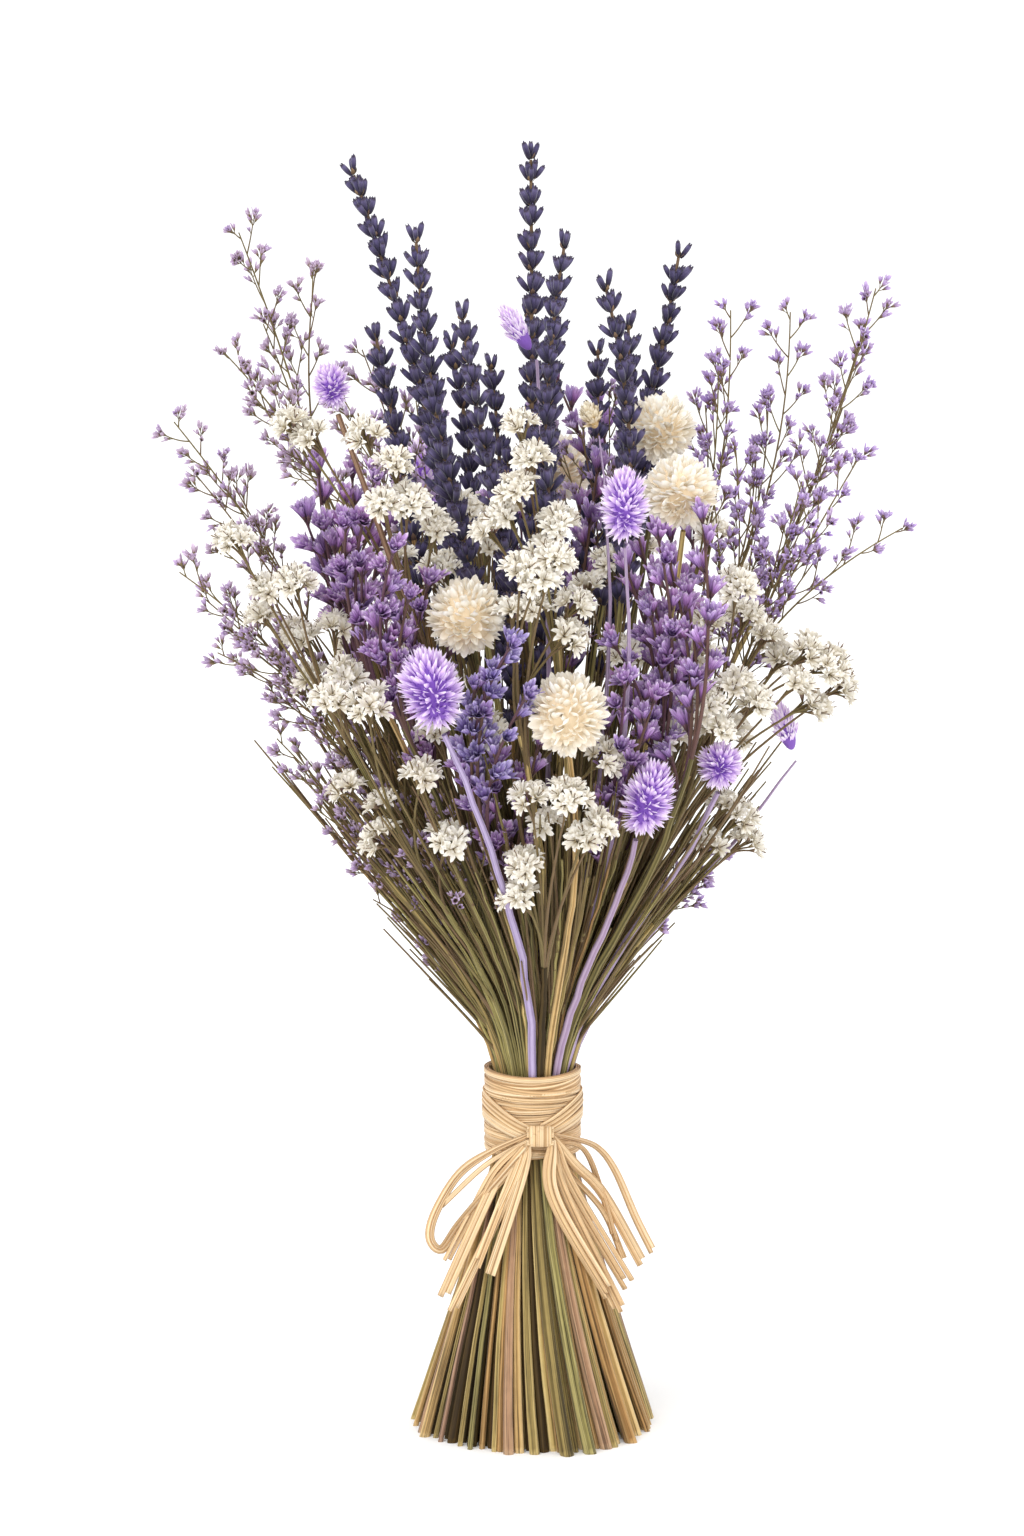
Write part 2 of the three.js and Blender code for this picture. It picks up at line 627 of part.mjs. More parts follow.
/** A closed ring from its profile in the plane of radius and height, seen from above. */
function ringOf(profile, sides) {
  const points = profile.map(([radius, z]) => new THREE.Vector2(radius, z));
  return new THREE.LatheGeometry([...points, points[0]], sides).rotateX(Math.PI / 2);
}

/** The tie: flat turns of raffia wound over each other, and a band drawn down to the knot. */
function raffiaWrap() {
  const { low, high, thick, groove, turns, sides } = WRAP;
  const facetRise = 1 / Math.cos(Math.PI / sides);
  const inner = (z) => (stemsEdge(z) + GAP) * facetRise;
  const heights = Array.from({ length: 2 * turns + 1 }, (_, i) => low + ((high - low) * i) / (2 * turns));
  const outside = heights.map((z, i) => [inner(z) + thick - (i % 2 === 0 ? groove : 0), z]);
  const inside = [high, TIE_HEIGHT + 5, TIE_HEIGHT - 5, low].map((z) => [inner(z), z]);
  const bandLow = BAND.high - BAND.width;
  const bandRadius = inner(BAND.high) + thick;
  const band = [
    [bandRadius - thick, bandLow],
    [bandRadius + BAND.thick, bandLow],
    [bandRadius + BAND.thick, BAND.high],
    [bandRadius - thick, BAND.high],
  ];
  const drawnDown = reshape(ringOf(band, sides), (v) => {
    const toFront = Math.max(0, -v.y / bandRadius);
    return new THREE.Vector3(v.x, v.y, v.z - BAND.drop * toFront ** 3);
  });
  return solidOf(ringOf([...outside, ...inside], sides)).add(solidOf(drawnDown));
}

/** The knot's middle, just clear of the band in front of the wrap. */
function knotCentre() {
  const front = stemsEdge(BAND.high) + GAP + WRAP.thick + BAND.thick + KNOT.half[1] + 0.6;
  return new THREE.Vector3(KNOT.x, -front, KNOT.z);
}

function raffiaKnot() {
  const [x, y, z] = KNOT.half;
  const geometry = tippedBall(4, 6, (_, isTip, v) => {
    const size = isTip ? 1 : 0.88;
    return new THREE.Vector3(v.x * x * size, v.y * z * size, v.z * y * size);
  });
  return solidOf(geometry.rotateX(Math.PI / 2).translate(...knotCentre().toArray()));
}

/** A front-view place, as a point just in front of the stems or the wrap there. */
function draped([x, z]) {
  const edge = stemsEdge(z) + (z > WRAP.low - 6 ? DRAPE_AT_WRAP : DRAPE);
  return new THREE.Vector3(x, -Math.sqrt(Math.max(edge ** 2 - x ** 2, (0.3 * edge) ** 2)), z);
}

/** One strand of the bow along a smooth way, its face turned from the front by a twist. */
function strand(start, way, twist, isLoop) {
  const points = [start, ...way.map(draped)];
  if (isLoop) points.push(start.clone().add(new THREE.Vector3(0, 0, -2)));
  const curve = new THREE.CatmullRomCurve3(points, false, "centripetal");
  const run = curve.getPoints(isLoop ? STRIP.loopSteps : STRIP.steps);
  const onward = points[isLoop ? 4 : points.length - 1].clone().sub(start);
  const across = new THREE.Vector3(onward.z, 0, -onward.x).normalize().multiplyScalar(Math.cos(twist));
  across.y = Math.sin(twist);
  return strip(run, across, STRIP);
}

/** All the strands on one side of the knot: side is -1 on the left and 1 on the right. */
function raffiaBow(side, tails, loop) {
  const start = knotCentre().add(new THREE.Vector3(side * (KNOT.half[0] + GAP + 1), 0, -1));
  const strands = tails.map((way) => strand(start, way, 0.25, false));
  if (loop) strands.push(strand(start, loop, 0.9, true));
  return strands;
}

place("raffia_wrap", raffiaWrap());
place("raffia_knot", raffiaKnot());
raffiaBow(-1, LEFT_TAILS, LEFT_LOOP).forEach((solid) => place("raffia_bow_left", solid));
raffiaBow(1, RIGHT_TAILS, null).forEach((solid) => place("raffia_bow_right", solid));

// ---------------------------------------------------------------- the bunch
/** A named mesh from a solid, placed from its own reference point. */
function meshOf(name, at, colour) {
  const { numProp, numVert, vertProperties, triVerts } = fused(name).getMesh();
  const places = new Float32Array(numVert * 3);
  for (let i = 0; i < numVert; i += 1) {
    places.set(vertProperties.subarray(i * numProp, i * numProp + 3), i * 3);
  }
  const geometry = new THREE.BufferGeometry();
  geometry.setAttribute("position", new THREE.BufferAttribute(places, 3));
  geometry.setIndex(new THREE.BufferAttribute(new Uint32Array(triVerts), 1));
  geometry.translate(-at.x, -at.y, -at.z);
  geometry.computeVertexNormals();
  const material = new THREE.MeshStandardMaterial({ color: colour, roughness: 0.85, metalness: 0 });
  const mesh = new THREE.Mesh(geometry, material);
  mesh.name = name;
  mesh.position.copy(at);
  return mesh;
}

const stems = new THREE.Group();
for (const flower of flowers) {
  stems.add(meshOf(flower.name, inBunch(flower.slot, 0), COLOURS[flower.kind]));
}
const tie = new THREE.Group();
for (const name of ["raffia_wrap", "raffia_knot", "raffia_bow_left", "raffia_bow_right"]) {
  tie.add(meshOf(name, new THREE.Vector3(0, 0, TIE_HEIGHT), COLOURS.raffia));
}

const bunch = new THREE.Group();
bunch.add(stems, tie);
const middle = new THREE.Box3().setFromObject(bunch).getCenter(new THREE.Vector3());
bunch.position.set(-middle.x, -middle.y, 0);

export default bunch;
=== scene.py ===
"""A hand-tied bunch of dried flowers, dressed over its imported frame.

Sizes are in millimetres from the tie's axis at the floor, as in the frame's own flow of stems, and
become metres when a mesh is made. The front of the bunch is towards -Y, and +X is to the right.
"""

import json
import logging
import math
from dataclasses import dataclass, field, replace
from enum import Enum
from typing import Any, ClassVar, Optional

import bpy
import numpy as np
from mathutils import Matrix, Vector

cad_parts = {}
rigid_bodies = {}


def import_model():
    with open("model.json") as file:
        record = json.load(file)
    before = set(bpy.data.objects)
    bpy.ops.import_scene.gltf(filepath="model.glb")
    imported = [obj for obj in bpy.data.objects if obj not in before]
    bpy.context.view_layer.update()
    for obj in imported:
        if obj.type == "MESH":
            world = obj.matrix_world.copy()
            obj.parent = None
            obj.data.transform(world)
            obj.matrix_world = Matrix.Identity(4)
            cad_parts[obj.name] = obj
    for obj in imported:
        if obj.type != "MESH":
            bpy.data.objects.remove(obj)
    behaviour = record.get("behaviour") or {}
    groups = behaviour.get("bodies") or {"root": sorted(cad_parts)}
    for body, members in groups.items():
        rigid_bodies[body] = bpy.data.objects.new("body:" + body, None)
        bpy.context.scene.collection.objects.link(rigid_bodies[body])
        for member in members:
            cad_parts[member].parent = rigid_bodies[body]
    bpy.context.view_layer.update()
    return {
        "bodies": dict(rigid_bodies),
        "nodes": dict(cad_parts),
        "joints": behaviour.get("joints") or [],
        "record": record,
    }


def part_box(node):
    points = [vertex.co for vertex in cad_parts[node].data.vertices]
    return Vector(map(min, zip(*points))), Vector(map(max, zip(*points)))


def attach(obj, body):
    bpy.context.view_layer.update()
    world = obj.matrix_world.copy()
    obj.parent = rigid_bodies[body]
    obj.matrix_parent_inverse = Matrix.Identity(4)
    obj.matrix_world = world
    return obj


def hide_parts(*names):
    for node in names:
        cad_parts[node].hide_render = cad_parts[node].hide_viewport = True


MM = 0.001
GOLDEN_TURN = 2.39996
GOLDEN_SHARE = 0.618
FULL_TURN = 2 * math.pi
ANY_TURN = (0, 6)  # the range of a random turn, in radians
TINY = 1e-9
SCREEN_WHITE = 255
CURVE_START, CURVE_SLOPE, CURVE_SHIFT, CURVE_POWER = 0.04045, 12.92, 0.055, 2.4  # a screen's tone curve
STEEP = 0.9  # the most that a direction may run along the axis that it is crossed with
STALK_STEEP = 0.85  # and a stalk's
CORNER_SHARE = 0.45  # how far along its first direction a curve's corner lies
HEADING_STEP = 0.02  # the share of a line on each side over which its direction is taken
HEADING_RISE = 5  # and the height for a stem's
PLAIN_SHADE, GROOVED_SHADE, RIDGE_SHADE = 0.5, 0.55, 3.6  # a stalk's place on its ramp, and a ridge's more; on a ribbed stalk the ramp gives painted shade in the grooves and painted highlight on the ridges
TONE_STEP = 90  # how far apart in the noise the pieces of tone 0 and 1 lie
SWELL_TOP = 97  # the height where a stem's swelling foot ends
Place = tuple[float, float]
Colour = tuple[int, int, int]
Stops = tuple[tuple[float, Colour], ...]
log = logging.getLogger("bunch")


# ---------------- shaders
def linear(colour: Colour) -> tuple[float, float, float, float]:
    """Gives a screen colour of 0 to 255 as a linear one with full alpha.

    Args:
        colour: Red, green and blue.

    Returns:
        Red, green, blue and alpha from 0 to 1.
    """
    made = []
    for share in (c / SCREEN_WHITE for c in colour):
        curved = ((share + CURVE_SHIFT) / (1 + CURVE_SHIFT)) ** CURVE_POWER
        made.append(share / CURVE_SLOPE if share <= CURVE_START else curved)
    return (*made, 1.0)


class Shade:
    """A number in a shader that is reckoned with as Python numbers are."""

    def __init__(self, bench: "Bench", socket: bpy.types.NodeSocket) -> None:
        """Wraps an output socket of a bench's tree."""
        self.bench = bench
        self.socket = socket

    def _reckon(self, operation: str, first: Any, second: Any, clamp: bool = False) -> "Shade":
        """Adds a Math node for two values."""
        settings = {"operation": operation, "use_clamp": clamp}
        made = self.bench.node("ShaderNodeMath", settings, {0: first, 1: second})
        return Shade(self.bench, made.outputs[0])

    def __add__(self, other: Any) -> "Shade":
        """Gives self + other."""
        return self._reckon("ADD", self, other)

    __radd__ = __add__

    def __sub__(self, other: Any) -> "Shade":
        """Gives self - other."""
        return self._reckon("SUBTRACT", self, other)

    def __rsub__(self, other: Any) -> "Shade":
        """Gives other - self."""
        return self._reckon("SUBTRACT", other, self)

    def __mul__(self, other: Any) -> "Shade":
        """Gives self * other."""
        return self._reckon("MULTIPLY", self, other)

    __rmul__ = __mul__

    def clipped(self) -> "Shade":
        """Gives self kept from 0 to 1."""
        return self._reckon("ADD", self, 0.0, True)


class Bench:
    """A material's tree of nodes, with one method that makes any node."""

    noise_roughness: ClassVar[float] = 0.6  # how strong the finer waves are

    def __init__(self, name: str) -> None:
        """Starts a material with its Principled shader.

        Args:
            name: The material's name.
        """
        self.material = bpy.data.materials.new(name)
        self.material.use_nodes = True
        self.tree = self.material.node_tree
        self.surface = next(n for n in self.tree.nodes if n.type == "BSDF_PRINCIPLED")

    def node(self, kind: str, settings: dict[str, Any], inputs: dict[Any, Any]) -> bpy.types.Node:
        """Makes a node.

        Args:
            kind: The node's type.
            settings: Its own settings, which are set first; "stops" are a ramp's.
            inputs: Values or links of its sockets, by name or number.

        Returns:
            The new node.
        """
        made = self.tree.nodes.new(kind)
        for key, value in settings.items():
            if key == "stops":
                self._set_stops(made.color_ramp, value)
            else:
                setattr(made, key, value)
        for key, value in inputs.items():
            self.feed(made.inputs[key], value)
        return made

    def feed(self, socket: bpy.types.NodeSocket, value: Any) -> None:
        """Sets a socket to a value, or links a shade or an output to it.

        Args:
            socket: The input socket.
            value: A number, a colour, a shade or an output socket.
        """
        if isinstance(value, Shade):
            self.tree.links.new(value.socket, socket)
        elif isinstance(value, bpy.types.NodeSocket):
            self.tree.links.new(value, socket)
        else:
            socket.default_value = value

    @staticmethod
    def _set_stops(ramp: bpy.types.ColorRamp, stops: Stops) -> None:
        """Gives a ramp its places and colours.

        Args:
            ramp: The ramp.
            stops: The place and colour of each stop.
        """
        while len(ramp.elements) < len(stops):
            ramp.elements.new(1.0)
        for element, (place, colour) in zip(ramp.elements, stops):
            element.position = place
            element.color = linear(colour)

    def told(self, name: str) -> bpy.types.NodeSocket:
        """Reads a number that the mesh holds."""
        return self.node("ShaderNodeAttribute", {"attribute_name": name}, {}).outputs["Fac"]

    def ramp(self, by: Any, stops: Stops) -> bpy.types.NodeSocket:
        """Gives the colour at a number on a ramp."""
        return self.node("ShaderNodeValToRGB", {"stops": stops}, {0: by}).outputs[0]

    def mixed(self, share: Any, first: Any, second: Any, way: str = "MIX") -> bpy.types.NodeSocket:
        """Mixes two colours by a share."""
        settings = {"data_type": "RGBA", "blend_type": way}
        return self.node("ShaderNodeMix", settings, {0: share, 6: first, 7: second}).outputs[2]

    def noise(self, scale: tuple[float, float, float], detail: float) -> Shade:
        """Gives noise over the mesh's own grain, in waves to the millimetre along each axis.

        Args:
            scale: Waves to the millimetre round, along, and from piece to piece.
            detail: How many finer waves lie on them.

        Returns:
            The noise, about 0.5.
        """
        grain = self.node("ShaderNodeAttribute", {"attribute_name": "grain"}, {}).outputs["Vector"]
        scaled = self.node("ShaderNodeVectorMath", {"operation": "MULTIPLY"}, {0: grain, 1: scale})
        inputs = {"Vector": scaled.outputs[0], "Scale": 1.0, "Detail": detail}
        inputs["Roughness"] = self.noise_roughness
        return Shade(self, self.node("ShaderNodeTexNoise", {}, inputs).outputs[0])


@dataclass(frozen=True)
class Finish:
    """A dry plant surface, whose colour runs from root to tip and differs from piece to piece."""

    name: str
    plain: Stops  # from root to tip, on pieces of tone 0
    other: Stops  # and on those of tone 1
    fibre: Place = (3.0, 0.15)  # streaks to the millimetre, across and along
    streak: float = 0.35  # how much darker the streaks are
    lines: Place = (0.32, 0.7)  # the noise where a streak is darkest and where it ends
    mottle: float = 0.15
    bump: float = 0.12  # height of the fibres in millimetres
    rough: Place = (0.6, 0.85)
    sheen: float = 0.1
    painted_glow: float = 0.0  # painted glow: an even light of the surface's own colour, standing in for the light that a thin petal lets through from behind
    shift: ClassVar[float] = 7.0  # how fast the fibres change from piece to piece
    clouds: ClassVar[tuple[float, float, float]] = (0.35, 0.25, 5.0)
    detail: ClassVar[Place] = (3.0, 2.0)  # how many finer waves lie on the fibres and on the clouds
    relief: ClassVar[float] = 0.8
    gloss: ClassVar[float] = 0.3

    def material(self) -> bpy.types.Material:
        """Makes the material, or finds it if it is there.

        Returns:
            The material of this finish.
        """
        found = bpy.data.materials.get(self.name)
        if found:
            return found
        bench = Bench(self.name)
        reach = bench.told("reach")
        tone = bench.told("tone")
        fibres = bench.noise((*self.fibre, self.shift), self.detail[0])
        clouds = bench.noise(self.clouds, self.detail[1])
        darkest, ended = self.lines
        streaks = ((fibres - darkest) * (1 / (ended - darkest))).clipped()
        body = bench.mixed(tone, bench.ramp(reach, self.plain), bench.ramp(reach, self.other))
        light = (1 - self.streak) + streaks * self.streak
        body = bench.mixed(1.0, body, light.socket, "MULTIPLY")
        cloudy = (1 - self.mottle) + clouds * (2 * self.mottle)
        body = bench.mixed(1.0, body, cloudy.socket, "MULTIPLY")
        low, high = self.rough
        relief = {"Strength": self.relief, "Distance": self.bump * MM, "Height": fibres}
        bump = bench.node("ShaderNodeBump", {}, relief)
        bench.feed(bench.surface.inputs["Base Color"], body)
        bench.feed(bench.surface.inputs["Roughness"], high - fibres * (high - low))
        bench.feed(bench.surface.inputs["Normal"], bump.outputs[0])
        bench.feed(bench.surface.inputs["Sheen Weight"], self.sheen)
        bench.feed(bench.surface.inputs["Specular IOR Level"], self.gloss)
        # Painted glow: the surface gives out light of its own colour, so its shade is lifted evenly.
        if self.painted_glow:
            bench.feed(bench.surface.inputs["Emission Color"], body)
            bench.feed(bench.surface.inputs["Emission Strength"], self.painted_glow)
        return bench.material


def stem_finish(name: str, plain: tuple[Colour, ...], other: tuple[Colour, ...], streaks: float,
                depth: float, sheen: float = 0.1) -> Finish:
    """Gives the finish of a bare stem, grooved along its whole length.

    Args:
        name: Its name.
        plain: Its three colours from groove to ridge, on stems of tone 0; the dark groove colour is painted
            shade and the light ridge colour painted highlight.
        other: And on those of tone 1.
        streaks: Streaks to the millimetre round the stem.
        depth: How much darker they are.
        sheen: Its sheen.

    Returns:
        The finish.
    """
    low_to_high = [tuple(zip((0.0, 0.45, 1.0), colours)) for colours in (plain, other)]
    return Finish(name, *low_to_high, (streaks, 0.02), depth, (0.38, 0.5), 0.2, 0.25, sheen=sheen)


# Each stem finish runs from painted shade in its grooves to painted highlight on its ridges.
OLIVE_STEM = stem_finish(
    "olive_stem",
    ((46, 36, 15), (108, 91, 46), (172, 150, 90)),
    ((76, 60, 30), (184, 158, 94), (238, 212, 148)),
    1.7, 0.74,
)
GREEN_STEM = stem_finish(
    "green_stem",
    ((38, 32, 14), (86, 77, 39), (146, 132, 80)),
    ((60, 54, 26), (158, 146, 84), (212, 198, 134)),
    1.9, 0.74,
)
STRAW_STEM = stem_finish(
    "straw_stem",
    ((100, 72, 34), (206, 171, 109), (248, 224, 168)),
    ((68, 42, 18), (142, 101, 53), (202, 160, 102)),
    1.6, 0.68,
)
ROSE_STEM = stem_finish(
    "rose_stem",
    ((104, 74, 48), (178, 138, 102), (216, 182, 142)),
    ((78, 52, 42), (136, 102, 82), (184, 150, 126)),
    1.7, 0.66,
)
SHADED_STEM = stem_finish(
    "shaded_stem",
    ((28, 17, 5), (62, 42, 15), (98, 73, 34)),
    ((25, 19, 5), (54, 43, 14), (86, 70, 31)),
    1.8, 0.5, 0.0,
)
MAUVE_STEM = Finish(
    "mauve_stem",
    ((0.0, (132, 114, 152)), (0.5, (178, 160, 202)), (1.0, (210, 196, 226))),
    ((0.0, (134, 106, 128)), (0.5, (174, 148, 178)), (1.0, (208, 188, 208))),
    fibre=(2.4, 0.02),
    streak=0.25,
)
PLUM_STEM = Finish(
    "plum_stem",
    ((0.0, (52, 32, 40)), (0.5, (98, 62, 82)), (1.0, (152, 110, 138))),
    ((0.0, (60, 42, 32)), (0.5, (108, 80, 64)), (1.0, (154, 124, 100))),
    fibre=(3.0, 0.03),
)
TWIG = Finish(
    "dry_twig",
    ((0.0, (94, 84, 46)), (0.5, (134, 120, 72)), (1.0, (168, 152, 100))),
    ((0.0, (88, 68, 46)), (0.5, (124, 98, 70)), (1.0, (156, 130, 100))),
    fibre=(6.0, 0.3),
    bump=0.08,
)
LAVENDER_BUD = Finish(
    "lavender_bud",
    ((0.0, (30, 21, 36)), (0.4, (46, 38, 70)), (0.85, (88, 80, 124)), (1.0, (52, 38, 58))),
    ((0.0, (38, 28, 42)), (0.4, (60, 50, 86)), (0.85, (118, 108, 152)), (1.0, (74, 56, 72))),
    fibre=(2.6, 0.2),
    streak=0.5,
    mottle=0.25,
    sheen=0.25,
)
BRACT = Finish(
    "brown_bract",
    ((0.0, (92, 74, 50)), (0.6, (132, 106, 74)), (1.0, (166, 138, 102))),
    ((0.0, (86, 66, 54)), (0.6, (120, 94, 80)), (1.0, (152, 124, 106))),
    streak=0.3,
)
CREAM_BRACT = Finish(
    "cream_bract",
    ((0.0, (244, 228, 202)), (0.3, (252, 244, 228)), (0.7, (254, 250, 240)), (1.0, (255, 253, 248))),
    ((0.0, (228, 204, 168)), (0.3, (246, 232, 208)), (0.7, (252, 243, 226)), (1.0, (254, 249, 239))),
    fibre=(3.0, 0.2),
    streak=0.06,
    mottle=0.04,
    painted_glow=0.02,
)
LILAC_SPIKELET = Finish(
    "lilac_spikelet",
    ((0.0, (118, 74, 176)), (0.3, (184, 138, 226)), (0.65, (234, 204, 249)), (1.0, (254, 246, 255))),
    ((0.0, (144, 104, 192)), (0.3, (208, 174, 234)), (0.65, (243, 226, 251)), (1.0, (255, 250, 255))),
    fibre=(5.0, 0.3),
    streak=0.12,
    painted_glow=0.08,
    mottle=0.1,
)
PALE_SPIKELET = Finish(
    "pale_spikelet",
    ((0.0, (206, 176, 126)), (0.4, (238, 222, 188)), (1.0, (250, 242, 222))),
    ((0.0, (196, 166, 116)), (0.4, (226, 206, 170)), (1.0, (244, 232, 208))),
    fibre=(5.0, 0.3),
    streak=0.2,
    mottle=0.1,
)
WHITE_PETAL = Finish(
    "white_petal",
    ((0.0, (200, 182, 140)), (0.16, (236, 229, 212)), (0.5, (247, 243, 234)), (1.0, (253, 250, 244))),
    ((0.0, (184, 164, 122)), (0.16, (226, 216, 194)), (0.5, (241, 235, 222)), (1.0, (249, 245, 236))),
    fibre=(4.0, 0.5),
    streak=0.12,
    mottle=0.08,
    painted_glow=0.09,
)
VIOLET_PETAL = Finish(
    "violet_petal",
    ((0.0, (104, 56, 98)), (0.3, (174, 116, 184)), (0.7, (218, 174, 230)), (1.0, (252, 238, 252))),
    ((0.0, (104, 82, 140)), (0.3, (154, 134, 202)), (0.7, (192, 176, 228)), (1.0, (234, 228, 249))),
    fibre=(3.0, 0.2),
    streak=0.48,
    lines=(0.36, 0.54),
)
LILAC_CUP = Finish(
    "lilac_cup",
    ((0.0, (166, 138, 146)), (0.3, (204, 180, 204)), (0.7, (226, 206, 230)), (1.0, (245, 234, 247))),
    ((0.0, (146, 116, 160)), (0.3, (178, 148, 216)), (0.7, (206, 180, 234)), (1.0, (232, 216, 247))),
    painted_glow=0.07,
    fibre=(5.0, 0.4),
    streak=0.25,
    mottle=0.12,
)
CALYX = Finish(
    "brown_calyx",
    ((0.0, (104, 94, 56)), (0.6, (142, 124, 84)), (1.0, (188, 168, 132))),
    ((0.0, (92, 72, 60)), (0.6, (128, 98, 90)), (1.0, (168, 138, 132))),
    streak=0.3,
)
# The raffia's darkest colour is painted shade, given to the strips' edges and the low places between their
# ridges.
RAFFIA = Finish(
    "raffia_fibre",
    ((0.0, (192, 146, 96)), (0.35, (244, 210, 162)), (1.0, (254, 236, 204))),
    ((0.0, (172, 128, 80)), (0.35, (230, 192, 142)), (1.0, (250, 224, 184))),
    fibre=(4.2, 0.012),
    streak=0.42,
    lines=(0.36, 0.56),
    mottle=0.12,
    bump=0.14,
    rough=(0.42, 0.65),
    sheen=0.15,
)


# ---------------- surfaces
def unit(vectors: np.ndarray) -> np.ndarray:
    """Gives vectors a length of one."""
    return vectors / np.maximum(np.linalg.norm(vectors, axis=-1, keepdims=True), TINY)


def even_turns(count: int) -> np.ndarray:
    """Gives turns that go evenly round, in radians."""
    return np.arange(count) * FULL_TURN / count


def square_to(ahead: np.ndarray) -> tuple[np.ndarray, np.ndarray]:
    """Gives two directions square to each direction and to each other.

    Args:
        ahead: Directions of length one.

    Returns:
        The two directions for each.
    """
    guess = np.where(np.abs(ahead[..., 2:3]) < STEEP, [0.0, 0.0, 1.0], [0.0, 1.0, 0.0])
    side = unit(np.cross(guess, ahead))
    return side, np.cross(ahead, side)


def axes_along(directions: np.ndarray, spins: np.ndarray, sizes: np.ndarray) -> np.ndarray:
    """Gives sized axes whose third one points along each direction.

    Args:
        directions: Where each third axis points.
        spins: Each turn about it, in radians.
        sizes: Each scale.

    Returns:
        One 3 by 3 matrix for each direction.
    """
    ahead = unit(directions)
    side, other = square_to(ahead)
    c, s = np.cos(spins)[:, None], np.sin(spins)[:, None]
    return np.stack([c * side + s * other, c * other - s * side, ahead], axis=2) * sizes[:, None, None]


def fanned(ahead: np.ndarray, lean: np.ndarray, about: np.ndarray) -> np.ndarray:
    """Gives directions that lean away from others by an angle, at a turn about them.

    Args:
        ahead: The directions to lean away from.
        lean: Each angle away, in radians.
        about: Each turn about the first direction, in radians.

    Returns:
        Directions of length one.
    """
    side, other = square_to(unit(ahead))
    out = np.cos(about)[:, None] * side + np.sin(about)[:, None] * other
    return unit(ahead) * np.cos(lean)[:, None] + out * np.sin(lean)[:, None]


def bend(start: np.ndarray, leaving: np.ndarray, end: np.ndarray, steps: int) -> np.ndarray:
    """Gives points on curves that leave in their own direction and bend to their ends.

    Args:
        start: Where each curve starts.
        leaving: Its direction there.
        end: Where it ends.
        steps: How many steps it is given in.

    Returns:
        The points of each curve.
    """
    start, leaving, end = (np.atleast_2d(v) for v in (start, leaving, end))
    corner = start + leaving * CORNER_SHARE * np.linalg.norm(end - start, axis=1, keepdims=True)
    t = np.linspace(0, 1, steps + 1)[None, :, None]
    return start[:, None] * (1 - t) ** 2 + 2 * corner[:, None] * t * (1 - t) + end[:, None] * t**2


def smooth(points: Any, steps: int) -> np.ndarray:
    """Gives points on a smooth curve through a few given ones.

    Args:
        points: The given points.
        steps: How many steps the curve is given in.

    Returns:
        The points of the curve.
    """
    given = np.asarray(points, float)
    padded = np.vstack([2 * given[0] - given[1], given, 2 * given[-1] - given[-2]])
    spans = len(given) - 1
    at = np.linspace(0, spans, steps + 1)
    first = np.minimum(at.astype(int), spans - 1)
    t = (at - first)[:, None]
    a, b, c, d = (padded[first + i] for i in range(4))
    return 0.5 * (2 * b + (c - a) * t + (2 * a - 5 * b + 4 * c - d) * t**2 + (3 * b - a - 3 * c + d) * t**3)


class Line:
    """A curve that is read by shares of its length."""

    def __init__(self, points: np.ndarray) -> None:
        """Measures the curve through some points.

        Args:
            points: The points.
        """
        self.points = points
        self.steps = np.concatenate([[0], np.cumsum(np.linalg.norm(np.diff(points, axis=0), axis=1))])
        self.length = float(self.steps[-1])

    def at(self, shares: Any) -> np.ndarray:
        """Gives the points at shares of the length."""
        where = np.atleast_1d(shares) * self.length
        return np.stack([np.interp(where, self.steps, self.points[:, i]) for i in range(3)], axis=1)

    def heading(self, shares: Any) -> np.ndarray:
        """Gives the directions at shares of the length.

        Args:
            shares: The shares, from 0 to 1.

        Returns:
            A direction for each.
        """
        shares = np.atleast_1d(np.asarray(shares, float))
        after, before = np.minimum(shares + HEADING_STEP, 1), np.maximum(shares - HEADING_STEP, 0)
        return unit(self.at(after) - self.at(before))


